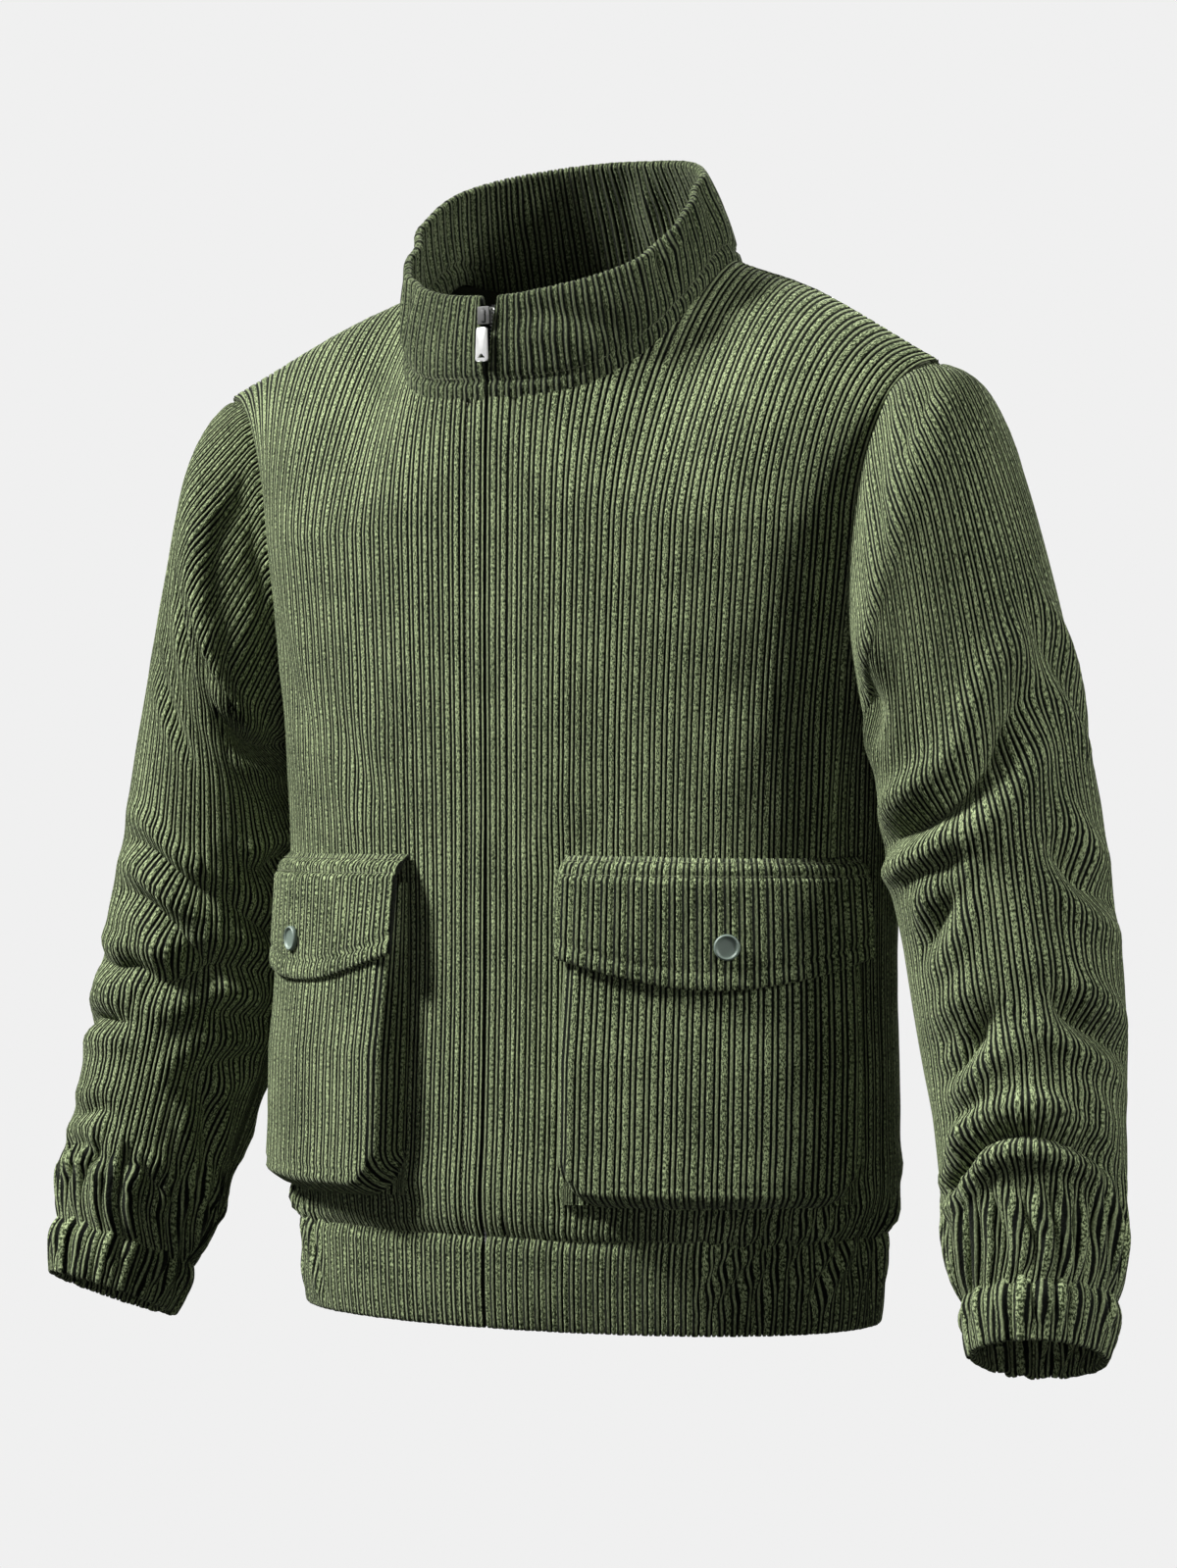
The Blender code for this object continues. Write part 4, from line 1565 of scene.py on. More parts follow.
class Value:
    """An output that takes arithmetic."""

    def __init__(self, maker: Maker, socket: bpy.types.NodeSocket) -> None:
        """Wraps an output of the maker's tree."""
        self.maker, self.socket = maker, socket

    def _math(self, operation: str, first: object, second: object = 0.0) -> "Value":
        """One Math node."""
        return self.maker.value("ShaderNodeMath", 0, {"operation": operation}, i0=first, i1=second)

    def __add__(self, other: object) -> "Value":
        """Sum."""
        return self._math("ADD", self, other)

    def __sub__(self, other: object) -> "Value":
        """Difference."""
        return self._math("SUBTRACT", self, other)

    def __rsub__(self, other: object) -> "Value":
        """Difference, from the right."""
        return self._math("SUBTRACT", other, self)

    def __mul__(self, other: object) -> "Value":
        """Product."""
        return self._math("MULTIPLY", self, other)

    def __truediv__(self, other: object) -> "Value":
        """Quotient."""
        return self._math("DIVIDE", self, other)

    def fraction(self) -> "Value":
        """The part after the point."""
        return self._math("FRACT", self)

    def size(self) -> "Value":
        """Without its sign."""
        return self._math("ABSOLUTE", self)

    def least(self, other: object) -> "Value":
        """The smaller of two."""
        return self._math("MINIMUM", self, other)

    def eased(self, low: float, high: float) -> "Value":
        """A smooth rise from nought to one as it goes from low to high."""
        settings = {"interpolation_type": "SMOOTHSTEP"}
        return self.maker.value("ShaderNodeMapRange", 0, settings, Value=self, From_Min=low, From_Max=high)


class Shade(Maker):
    """A material being built, with its Principled shader ready."""

    def __init__(self, name: str) -> None:
        """Starts a material that has only its shader.

        Args:
            name: the material's name.
        """
        self.material = bpy.data.materials.new(name)
        self.material.use_nodes = True
        super().__init__(self.material.node_tree)
        self.tree.nodes.clear()
        self.shader = self.node("ShaderNodeBsdfPrincipled")
        end = self.node("ShaderNodeOutputMaterial")
        self.tree.links.new(self.shader.outputs[0], end.inputs["Surface"])

    def set(self, **values: object) -> None:
        """Sets or links inputs of the shader; underscores stand for spaces."""
        for name, value in values.items():
            self.put(self.shader.inputs[name.replace("_", " ")], value)

    def noise(self, place: Value, scale: float, detail: float = 2.0, roughness: float = 0.5) -> Value:
        """Noise between nought and one.

        Args:
            place: where to read it.
            scale: cells a metre.
            detail: how many finer layers it has.
            roughness: how strong they are.

        Returns:
            The noise.
        """
        return self.value(
            "ShaderNodeTexNoise", 0, None, Vector=place, Scale=scale, Detail=detail, Roughness=roughness
        )

    def blend(self, part: Value, first: object, second: object) -> Value:
        """A colour between two.

        Args:
            part: the share of the second.
            first: a colour.
            second: the other.

        Returns:
            The colour.
        """
        made = self.node("ShaderNodeMix", {"data_type": "RGBA"})
        self.put(made.inputs["Factor"], part)
        self.put(made.inputs[6], first)
        self.put(made.inputs[7], second)
        return Value(self, made.outputs[2])

    def bump(self, height: Value, strength: float, distance: float) -> None:
        """Links a bump to the shader's normal."""
        made = self.value("ShaderNodeBump", 0, None, Height=height, Strength=strength, Distance=distance)
        self.set(Normal=made)


@dataclass(frozen=True)
class Corduroy:
    """Olive jumbo corduroy: a wide wale, a thin paler one, and painted shade in the grooves between them.
    """

    name: str = "corduroy"
    wide: Colour = (0.022, 0.032, 0.012)
    worn: Colour = (0.392, 0.468, 0.250)
    thin: Colour = (0.225, 0.268, 0.145)
    # Painted shade: the nearly black colour laid in the grooves between the wales.
    ground: Colour = (0.001, 0.002, 0.001)
    # The plain reverse of the cloth, made darker than its face as painted shade inside the jacket.
    reverse: Colour = (0.040, 0.046, 0.026)
    sheen: Colour = (0.62, 0.68, 0.50)
    # Scales the pale pile colours; below one it gives a darker copy of the cloth, used as painted shade.
    tone: float = 1.0
    wander: float = 0.0005
    thin_edge: float = 0.0001
    # Distances from a groove over which its painted shade gives way to the pile.
    crown_and_groove_shade: tuple[float, float] = (0.00050, 0.00105)
    tuft_scale: float = 1300.0
    tuft_length: float = 0.42
    patch_scale: float = 24.0
    bare: tuple[float, float] = (0.86, 1.22)
    roughness: float = 0.92
    relief: float = 0.0009

    def build(self) -> bpy.types.Material:
        """Makes the material, which reads the cloth's own coordinates.

        Returns:
            The material.
        """
        shade = Shade(self.name)
        flat = shade.value("ShaderNodeUVMap", 0, {"uv_map": "cloth"})
        parts = shade.node("ShaderNodeSeparateXYZ", None, Vector=flat)
        across, along = Value(shade, parts.outputs[0]), Value(shade, parts.outputs[1])
        wander = shade.noise(flat, 190.0, 1.0) - 0.5
        repeat = ((across + wander * self.wander) / PITCH).fraction() * PITCH
        thin_side = repeat.eased(THIN_WALE - self.thin_edge, THIN_WALE + self.thin_edge)
        from_ground = repeat.least((repeat - THIN_WALE).size()).least(PITCH - repeat)
        # Nought in the grooves, under painted shade, and one on the crowns; it also raises the bump.
        crown_and_groove_shade = from_ground.eased(*self.crown_and_groove_shade)
        scales = (1.0, self.tuft_length, 1.0)
        stretched = shade.value("ShaderNodeVectorMath", 0, {"operation": "MULTIPLY"}, i0=flat, i1=scales)
        tufts = shade.noise(stretched, self.tuft_scale, 2.0, 0.60)
        patches = shade.noise(flat, self.patch_scale, 2.0, 0.55)
        worn = tuple(part * self.tone for part in self.worn)
        thin = tuple(part * self.tone for part in self.thin)
        pile = shade.blend((tufts * 1.7 + patches * 0.3).eased(*self.bare), self.wide, worn)
        pile = shade.blend(thin_side * 0.6, pile, thin)
        # Painted shade: the grooves take the nearly black colour, the crowns the pile.
        ribs = shade.blend(crown_and_groove_shade, self.ground, pile)
        inside = shade.value("ShaderNodeAttribute", 2, {"attribute_name": "inside"})
        # Inner faces take the reverse's colour, whose darkness is painted shade inside the jacket.
        shade.set(Base_Color=shade.blend(inside.eased(0.4, 0.6), ribs, self.reverse))
        shade.set(Roughness=self.roughness, Specular_IOR_Level=0.12)
        shade.set(Sheen_Weight=0.18, Sheen_Roughness=0.45, Sheen_Tint=self.sheen)
        shade.bump(tufts + crown_and_groove_shade * 0.5, 1.0, self.relief)
        return shade.material


@dataclass(frozen=True)
class Thread:
    """Matt spun thread, or woven tape, with a fine even tooth."""

    name: str
    colour: Colour
    roughness: float = 0.8
    tooth: float = 2600.0

    def build(self) -> bpy.types.Material:
        """Makes the material from the object's own coordinates.

        Returns:
            The material.
        """
        shade = Shade(self.name)
        place = shade.value("ShaderNodeTexCoord", 3)
        grain = shade.noise(place, self.tooth, 2.0)
        dark = tuple(part * 0.6 for part in self.colour)
        shade.set(Base_Color=shade.blend(grain, dark, self.colour), Roughness=self.roughness)
        shade.bump(grain, 0.4, 0.0002)
        return shade.material


@dataclass(frozen=True)
class Metal:
    """Plated or painted metal with light handling wear."""

    name: str
    colour: Colour
    roughness: float
    metallic: float
    wear: float = 0.25

    def build(self) -> bpy.types.Material:
        """Makes the material from the object's own coordinates.

        Returns:
            The material.
        """
        shade = Shade(self.name)
        place = shade.value("ShaderNodeTexCoord", 3)
        cloudy, fine = shade.noise(place, 260.0, 3.0), shade.noise(place, 3200.0, 2.0)
        dull = tuple(part * (1 - self.wear) for part in self.colour)
        shade.set(Base_Color=shade.blend(cloudy, dull, self.colour), Metallic=self.metallic)
        shade.set(Roughness=cloudy * 0.16 + (self.roughness - 0.08))
        shade.bump(fine, 0.15, 0.0001)
        return shade.material


@dataclass(frozen=True)
class Paper:
    """The plain pale ground of the studio."""

    name: str = "studio_paper"
    colour: Colour = (0.0, 0.0, 0.0)
    light: Colour = (0.871, 0.871, 0.871)

    def build(self) -> bpy.types.Material:
        """Makes the material.

        Returns:
            The material.
        """
        shade = Shade(self.name)
        shade.set(Base_Color=self.colour, Roughness=1.0, Specular_IOR_Level=0.0)
        shade.set(Emission_Color=self.light, Emission_Strength=1.0)
        return shade.material


# ---- Stitches and the zip's teeth, laid along lines by geometry nodes


@dataclass(frozen=True)
class Run:
    """A repeated shape laid along lines: its step, its size and its turn."""

    name: str
    step: float
    size: Triple
    shape: str = "SPHERE"

    def tree(self) -> bpy.types.NodeTree:
        """Builds the node group: lines in, one mesh of repeats out.

        Returns:
            The node group.
        """
        tree = bpy.data.node_groups.new(f"{self.name}_run", "GeometryNodeTree")
        face = tree.interface
        face.new_socket("Lines", in_out="INPUT", socket_type="NodeSocketGeometry")
        step = face.new_socket("Step", in_out="INPUT", socket_type="NodeSocketFloat")
        size = face.new_socket("Size", in_out="INPUT", socket_type="NodeSocketVector")
        face.new_socket("Material", in_out="INPUT", socket_type="NodeSocketMaterial")
        face.new_socket("Repeats", in_out="OUTPUT", socket_type="NodeSocketGeometry")
        step.default_value, size.default_value = self.step, self.size
        make = Maker(tree)
        start, end = make.node("NodeGroupInput"), make.node("NodeGroupOutput")
        curves = make.node("GeometryNodeMeshToCurve", None, i0=start.outputs["Lines"])
        by_length, gap = {"mode": "LENGTH"}, start.outputs["Step"]
        points = make.node("GeometryNodeResampleCurve", by_length, Curve=curves.outputs[0], Length=gap)
        tangent = make.node("GeometryNodeInputTangent")
        turn = make.node("FunctionNodeAlignRotationToVector", {"axis": "Z"}, Vector=tangent.outputs[0])
        if self.shape == "SPHERE":
            bead = make.node("GeometryNodeMeshUVSphere", None, Segments=6, Rings=4, Radius=1.0)
        else:
            bead = make.node("GeometryNodeMeshCube", None, Size=(2.0, 2.0, 2.0))
        laid = make.node(
            "GeometryNodeInstanceOnPoints",
            None,
            Points=points.outputs[0],
            Instance=bead.outputs[0],
            Rotation=turn.outputs[0],
            Scale=start.outputs["Size"],
        )
        real = make.node("GeometryNodeRealizeInstances", None, i0=laid.outputs[0])
        dressed = make.node(
            "GeometryNodeSetMaterial", None, Geometry=real.outputs[0], Material=start.outputs["Material"]
        )
        tree.links.new(dressed.outputs[0], end.inputs[0])
        return tree

    def lay(self, lines: Sequence[Array], material: bpy.types.Material) -> bpy.types.Object:
        """Lays the shape along lines.

        Args:
            lines: polylines in space.
            material: what the repeats are made of.

        Returns:
            One plain mesh object.
        """
        guide = bpy.data.meshes.new(f"{self.name}_guide")
        points = np.concatenate(lines)
        starts = np.cumsum([0, *(len(line) for line in lines)])
        edges = [(i, i + 1) for a, b in zip(starts[:-1], starts[1:]) for i in range(a, b - 1)]
        guide.from_pydata(points.tolist(), edges, [])
        carrier, tree = placed(f"{self.name}_guide", guide), self.tree()
        modifier = carrier.modifiers.new("run", "NODES")
        modifier.node_group = tree
        items = [item for item in tree.interface.items_tree if item.in_out == "INPUT"]
        inputs = {item.name: item.identifier for item in items}
        modifier[inputs["Step"]] = self.step
        modifier[inputs["Size"]] = self.size
        modifier[inputs["Material"]] = material
        bpy.context.view_layer.update()
        graph = bpy.context.evaluated_depsgraph_get()
        mesh = bpy.data.meshes.new_from_object(carrier.evaluated_get(graph))
        mesh.name = self.name
        mesh.shade_smooth()
        bpy.data.objects.remove(carrier, do_unlink=True)
        LOG.info("%s: %d faces", self.name, len(mesh.polygons))
        return placed(self.name, mesh)


# ---- Hardware


def solid_from(name: str, shape: bmesh.types.BMesh, material: bpy.types.Material) -> bpy.types.Object:
    """Makes a smooth-shaded object with crisp edges from a bmesh, and frees it.

    Args:
        name: the object's name.
        shape: its faces.
        material: what it is made of.

    Returns:
        The object, linked to the scene.
    """
    bmesh.ops.recalc_face_normals(shape, faces=shape.faces)
    mesh = bpy.data.meshes.new(name)
    shape.to_mesh(mesh)
    shape.free()
    mesh.materials.append(material)
    mesh.shade_smooth()
    mesh.set_sharp_from_angle(angle=math.radians(38))
    return placed(name, mesh)


def turned(shape: bmesh.types.BMesh, profile: Sequence[tuple[float, float]], segments: int) -> None:
    """Adds a closed turned solid to a bmesh.

    Args:
        shape: the bmesh.
        profile: rows of radius and height, from top to bottom.
        segments: how many round.
    """
    turn = [2 * math.pi * i / segments for i in range(segments)]
    rings = [[shape.verts.new((r * math.cos(t), r * math.sin(t), h)) for t in turn] for r, h in profile]
    for upper, lower in zip(rings[:-1], rings[1:]):
        for i in range(segments):
            j = (i + 1) % segments
            shape.faces.new([upper[i], upper[j], lower[j], lower[i]])
    shape.faces.new(rings[0])
    shape.faces.new(rings[-1])


@dataclass(frozen=True)
class SnapForm:
    """A painted snap cap: a dished disc with a raised rolled rim."""

    radius: float = 0.0080
    height: float = 0.0030

    def build(self, hand: Hand, material: bpy.types.Material) -> bpy.types.Object:
        """Makes the cap in the place of its solid.

        Args:
            hand: which pocket.
            material: its paint.

        Returns:
            The cap.
        """
        name = hand.of("snap")
        points = np.array([vertex.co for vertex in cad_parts[name].data.vertices], float)
        centre = points.mean(axis=0)
        normal = np.linalg.svd(points - centre)[2][-1]
        normal *= 1.0 if normal[1] < 0 else -1.0
        r, h = self.radius, self.height
        profile = [(0.10, 0.52), (0.45, 0.55), (0.66, 0.60), (0.74, 0.70), (0.80, 0.92), (0.87, 1.0)]
        profile += [(0.94, 0.92), (0.99, 0.70), (1.0, 0.45), (0.98, 0.12), (0.90, 0.0)]
        cap = bmesh.new()
        turned(cap, [(r * x, h * y) for x, y in profile], 56)
        made = solid_from(f"{name}_cap", cap, material)
        facing = Vector(normal).to_track_quat("Z", "Y").to_matrix().to_4x4()
        facing.translation = Vector(centre - normal * 0.0012)
        made.data.transform(facing)
        return made


@dataclass(frozen=True)
class ZipForm:
    """Slider, bridge, pull tab, tapes and lines of teeth of the front zip."""

    tab_width: float = 0.0088
    tab_thick: float = 0.0016
    tab_length: float = 0.021
    tab_corner: float = 0.0018
    tab_above: float = 0.001
    tab_taper: float = 0.0006
    tab_bevel: float = 0.00035
    slot_width: float = 0.0052
    slot_height: float = 0.0026
    slot_up: float = 0.0036
    pivot: Triple = (0.0, -0.1348, -0.0480)

    @staticmethod
    def block(shape: bmesh.types.BMesh, size: Triple, centre: Triple, bevel: float) -> None:
        """Adds a bevelled block to a bmesh.

        Args:
            shape: the bmesh.
            size: the block's sides.
            centre: its middle.
            bevel: the width of its bevels.
        """
        part = bmesh.new()
        bmesh.ops.create_cube(part, size=1.0)
        bmesh.ops.scale(part, vec=size, verts=part.verts)
        bmesh.ops.bevel(part, geom=list(part.edges), offset=bevel, segments=2, affect="EDGES", profile=0.7)
        bmesh.ops.translate(part, vec=centre, verts=part.verts)
        mesh = bpy.data.meshes.new("block")
        part.to_mesh(mesh)
        part.free()
        shape.from_mesh(mesh)
        bpy.data.meshes.remove(mesh)

    def slider(self, material: bpy.types.Material) -> bpy.types.Object:
        """The slider: two plates, the wedge between them and the bridge that carries the tab.

        Args:
            material: its metal.

        Returns:
            The slider.
        """
        low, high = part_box("zip_slider")
        x, y, z = (low + high) / 2
        width, thick, length = high - low
        shape = bmesh.new()
        self.block(shape, (width, thick * 0.34, length), (x, low.y + thick * 0.17, z), 0.0005)
        self.block(shape, (width, thick * 0.28, length * 0.9), (x, high.y - thick * 0.14, z), 0.0004)
        self.block(shape, (width * 0.30, thick, length * 0.42), (x, y, z + length * 0.22), 0.0004)
        self.block(shape, (0.0026, 0.0016, length * 0.66), (x, low.y - 0.0001, z - length * 0.02), 0.0006)
        return solid_from("slider_body", shape, material)

    def tab(self, material: bpy.types.Material) -> bpy.types.Object:
        """The pull tab: a bare plate with rounded ends and a slot near its foot.

        Args:
            material: its metal.

        Returns:
            The tab.
        """
        shape = bmesh.new()
        half, corner, top = self.tab_width / 2, self.tab_corner, self.tab_above
        foot = top - self.tab_length
        outline: list[tuple[float, float]] = []
        for x, z, start in (
            (half - corner, foot + corner, -90),
            (half - corner - self.tab_taper, top - corner, 0),
            (-half + corner + self.tab_taper, top - corner, 90),
            (-half + corner, foot + corner, 180),
        ):
            for step in range(7):
                turn = math.radians(start + 15 * step)
                outline.append((x + corner * math.cos(turn), z + corner * math.sin(turn)))
        slot, middle = [], foot + self.slot_up
        for x, z in outline:
            turn = math.atan2(z - middle, x)
            wide, high = max(abs(math.cos(turn)), 1e-6), max(abs(math.sin(turn)), 1e-6)
            reach = min(self.slot_width / 2 / wide, self.slot_height / 2 / high)
            slot.append((reach * math.cos(turn), middle + reach * math.sin(turn)))
        levels = []
        for depth in (-self.tab_thick / 2, self.tab_thick / 2):
            levels.append([[shape.verts.new((x, depth, z)) for x, z in ring] for ring in (outline, slot)])
        near, far = levels
        for i in range(len(outline)):
            j = (i + 1) % len(outline)
            for level in levels:
                shape.faces.new([level[0][i], level[0][j], level[1][j], level[1][i]])
            for front, back in zip(near, far):
                shape.faces.new([front[i], front[j], back[j], back[i]])
        outer = {*near[0], *far[0]}
        rim = [edge for edge in shape.edges if outer.issuperset(edge.verts)]
        flat = [edge for edge in rim if abs(edge.verts[0].co.y - edge.verts[1].co.y) < 1e-7]
        bmesh.ops.bevel(shape, geom=flat, offset=self.tab_bevel, segments=2, affect="EDGES", profile=0.6)
        bmesh.ops.translate(shape, vec=self.pivot, verts=shape.verts)
        return solid_from("tab_plate", shape, material)

    def tape(self, hand: Hand, material: bpy.types.Material) -> bpy.types.Object:
        """One woven tape, on the form of its solid.

        Args:
            hand: which side.
            material: its weave.

        Returns:
            The tape.
        """
        name = hand.of("zip_tape")
        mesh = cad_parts[name].data.copy()
        mesh.name = hand.of("tape")
        mesh.materials.clear()
        mesh.materials.append(material)
        for layer in list(mesh.uv_layers):
            mesh.uv_layers.remove(layer)
        return placed(mesh.name, mesh)

    def chain(self) -> list[Array]:
        """The two lines of teeth, down the middle behind the lips and up inside the collar.

        Returns:
            The two lines' points.
        """
        points = np.array([vertex.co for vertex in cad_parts["zip_tape_left"].data.vertices], float)
        near = points[points[:, 0] < points[:, 0].min() + 0.002]
        near = near[np.argsort(near[:, 2])]
        heights = np.linspace(near[0, 2] + 0.004, near[-1, 2] - 0.003, 40)
        depth = np.interp(heights, near[:, 2], near[:, 1]) - 0.0010
        rows = ((0.0008, 0.0), (-0.0008, 0.0011))
        return [np.stack([np.full(40, x), depth, heights + shift], axis=1) for x, shift in rows]


# ---- Studio


@dataclass(frozen=True)
class Studio:
    """Pale seamless ground, a soft key light from the camera's left, and the camera."""

    azimuth: float = 32.0
    distance: float = 3.0
    height: float = -0.327
    shift_right: float = -0.006
    view_angle: float = 2 * math.atan(0.125)
    light_z: float = -0.3
    floor_z: float = -0.93
    floor_half: float = 6.0
    surround_radius: float = 12.0
    air: tuple[float, float, float, float] = (0.9, 0.93, 1.0, 1.0)
    air_strength: float = 0.045
    lights: tuple[tuple[str, float, float, float, float, float], ...] = (
        ("key", -50.0, 42.0, 4.0, 0.7, 400.0),
        ("side", 92.0, 24.0, 3.4, 0.6, 76.0),
        ("front", 30.0, -6.0, 3.6, 1.4, 22.0),
        ("back", -165.0, 34.0, 3.0, 0.9, 95.0),
    )

    def towards(self, azimuth: float, elevation: float) -> Vector:
        """Unit vector to a place round the jacket.

        Args:
            azimuth: round the jacket in degrees, from straight in front towards its left.
            elevation: above the horizon in degrees.

        Returns:
            The vector.
        """
        turn, rise = math.radians(azimuth), math.radians(elevation)
        return Vector((math.sin(turn) * math.cos(rise), -math.cos(turn) * math.cos(rise), math.sin(rise)))

    def camera(self) -> None:
        """Places the camera level, and turned to the jacket's middle."""
        data = bpy.data.cameras.new("camera")
        data.sensor_fit = "HORIZONTAL"
        data.angle = self.view_angle
        made = placed("camera", data)
        turn = math.radians(self.azimuth)
        right = Vector((math.cos(turn), math.sin(turn), 0.0))
        made.location = self.towards(self.azimuth, 0.0) * self.distance + right * self.shift_right
        made.location.z = self.height
        made.rotation_euler = (math.pi / 2, 0.0, turn)
        bpy.context.scene.camera = made

    def light(
        self, name: str, azimuth: float, elevation: float, distance: float, size: float, power: float
    ) -> None:
        """Adds one square soft light that looks at the jacket's middle.

        Args:
            name: the light's name.
            azimuth: round the jacket, in degrees.
            elevation: above the horizon, in degrees.
            distance: from the jacket's middle.
            size: its side.
            power: in watts.
        """
        data = bpy.data.lights.new(name, "AREA")
        data.size, data.energy = size, power
        made = placed(name, data)
        away = self.towards(azimuth, elevation)
        made.location = Vector((0.0, 0.0, self.light_z)) + away * distance
        made.rotation_euler = away.to_track_quat("Z", "Y").to_euler()

    def backdrop(self, paper: bpy.types.Material) -> tuple[bpy.types.Object, bpy.types.Object]:
        """The pale floor, and a pale surround that looks the same from every side.

        Args:
            paper: what both are made of.

        Returns:
            The floor and the surround.
        """
        shape = bmesh.new()
        bmesh.ops.create_grid(shape, x_segments=1, y_segments=1, size=self.floor_half)
        bmesh.ops.translate(shape, vec=(0.0, 0.0, self.floor_z), verts=shape.verts)
        floor = solid_from("studio_ground", shape, paper)
        shape = bmesh.new()
        bmesh.ops.create_uvsphere(shape, u_segments=32, v_segments=16, radius=self.surround_radius)
        surround = solid_from("studio_surround", shape, paper)
        for made in (floor, surround):
            made.visible_diffuse = made.visible_glossy = False
        surround.visible_shadow = False
        return floor, surround

    def build(self) -> None:
        """Makes the whole studio."""
        scene = bpy.context.scene
        scene.view_settings.view_transform = "Standard"
        world = bpy.data.worlds.new("studio_air")
        world.use_nodes = True
        air = world.node_tree.nodes["Background"].inputs
        air["Color"].default_value = self.air
        air["Strength"].default_value = self.air_strength
        scene.world = world
        self.camera()
        for row in self.lights:
            self.light(*row)
        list(self.backdrop(Paper().build()))


# ---- The jacket, put together


@dataclass(frozen=True)
class Cut:
    """The flat size of a cut piece, with the share of its rectangle that is cloth."""

    width: float
    length: float
    share: float
    held: str


PAIRED_CUTS: dict[str, Cut] = {
    "front": Cut(0.285, 0.625, 0.90, "hung"),
    "sleeve": Cut(0.590, 0.560, 0.72, "hung"),
    "cuff": Cut(0.290, 0.037, 1.0, "folded"),
    "hem_front": Cut(0.265, 0.057, 1.0, "folded"),
    "pocket": Cut(0.230, 0.215, 0.97, "hung"),
    "flap": Cut(0.186, 0.077, 0.90, "folded"),
}
CUTS: dict[str, Cut] = {
    "back": Cut(0.560, 0.640, 0.92, "hung"),
    "collar": Cut(0.640, 0.088, 0.95, "folded"),
    "hem_back": Cut(0.500, 0.057, 1.0, "folded"),
    **{hand.of(name): cut for name, cut in PAIRED_CUTS.items() for hand in Hand},
}

# Creases are rows for Crease.table: depth, width, puff and lean, then the places of the line.
SLEEVE_CREASES: dict[Hand, Rows] = {
    Hand.RIGHT: (
        (60, 130, 50, 0, 200, 21, 186, 28, 164, 26, 139, 24, 119, 22),
        (50, 110, 50, 0, 193, 37, 181, 46, 161, 50, 141, 50, 121, 63),
        (54, 100, 50, 0, 217, 95, 197, 98, 185, 104, 171, 114),
        (41, 80, 50, 0, 259, 152, 224, 152, 203, 159, 186, 165, 173, 168),
        (149, 110, 50, 50, 148, 117, 126, 111, 95, 92, 49, 60),
        (95, 90, 55, 30, 262, 261, 218, 254, 190, 258, 171, 261, 158, 258),
        (108, 100, 50, 30, 147, 229, 125, 223, 103, 203, 53, 191),
        (95, 100, 60, 20, 246, 290, 213, 286, 192, 293, 176, 302, 166, 312),
        (68, 100, 50, 20, 161, 258, 140, 267, 119, 274, 101, 264),
        (81, 80, 50, 20, 283, 334, 236, 338, 213, 331, 193, 331),
        (108, 110, 60, 30, 113, 308, 137, 306, 158, 309, 174, 322, 190, 334, 210, 341),
        (81, 80, 50, 20, 289, 392, 261, 377, 226, 373, 205, 370),
        (68, 100, 50, 0, 109, 331, 125, 341, 153, 344, 176, 341),
        (68, 100, 50, 0, 113, 356, 128, 370, 147, 382, 159, 395, 162, 411),
        (68, 90, 50, 0, 159, 395, 144, 411, 136, 433, 129, 453),
        (41, 70, 50, 0, 279, 436, 243, 440, 218, 433, 200, 437),
        (41, 60, 50, 0, 271, 465, 232, 459, 210, 465, 195, 456),
        (54, 60, 50, 0, 190, 459, 171, 469, 156, 475),
        (110, 110, 60, 30, 351, 230, 391, 214, 441, 220, 491, 240),
        (80, 100, 50, 0, 341, 290, 381, 300, 421, 296, 461, 280),
        (100, 100, 60, 20, 371, 345, 411, 330, 461, 334, 501, 350),
        (80, 90, 50, 0, 351, 400, 391, 414, 441, 408, 471, 396),
        (60, 80, 50, 0, 381, 452, 421, 442, 471, 450),
        (60, 120, 50, 0, 421, 110, 461, 130, 501, 120),
        (40, 130, 50, 0, 361, 60, 391, 85, 441, 90),
    ),
    Hand.LEFT: (
        (24, 120, 40, 0, 276, 37, 259, 47, 246, 56, 228, 56),
        (20, 90, 40, 0, 249, 31, 236, 47, 226, 53),
        (26, 120, 40, 0, 209, 31, 193, 47, 192, 63, 195, 79),
        (68, 110, 60, 0, 281, 146, 294, 168, 317, 187, 339, 207, 345, 223),
        (121, 150, 50, 30, 200, 219, 228, 216, 243, 210, 256, 200, 276, 191, 304, 191),
        (81, 120, 50, 0, 106, 60, 136, 101, 164, 136),
        (135, 120, 70, 40, 126, 196, 161, 209, 191, 219, 216, 222, 244, 218),
        (68, 90, 50, 0, 161, 242, 192, 248, 209, 251, 221, 246),
        (108, 110, 60, 20, 268, 261, 286, 274, 304, 286, 341, 290),
        (68, 110, 50, 0, 173, 296, 190, 290, 203, 277, 209, 262),
        (81, 130, 50, 0, 177, 363, 203, 360, 220, 354, 236, 344),
        (121, 100, 65, 20, 255, 341, 270, 354, 290, 363, 331, 376),
        (68, 80, 50, 0, 177, 382, 197, 379, 213, 366, 223, 360),
        (54, 90, 50, 0, 187, 402, 217, 412, 236, 412),
        (81, 90, 50, 0, 256, 414, 273, 417, 290, 427, 314, 437),
        (130, 80, 100, 90, 176, 446, 193, 437, 210, 427, 231, 423, 248, 424, 270, 430, 288, 437, 309, 449),
        (68, 60, 50, 0, 156, 453, 184, 446, 203, 440),
        (110, 120, 60, 30, 361, 214, 411, 226, 451, 216, 481, 196),
        (60, 90, 50, 0, 371, 262, 401, 250, 451, 258),
        (100, 110, 60, 20, 351, 308, 391, 322, 451, 314, 501, 300),
        (80, 90, 50, 0, 361, 372, 421, 362, 471, 372),
        (90, 80, 80, 40, 351, 428, 401, 440, 461, 430),
        (60, 130, 50, 0, 411, 120, 451, 104, 501, 112),
        (40, 130, 50, 0, 371, 50, 401, 70, 431, 100),
    ),
}


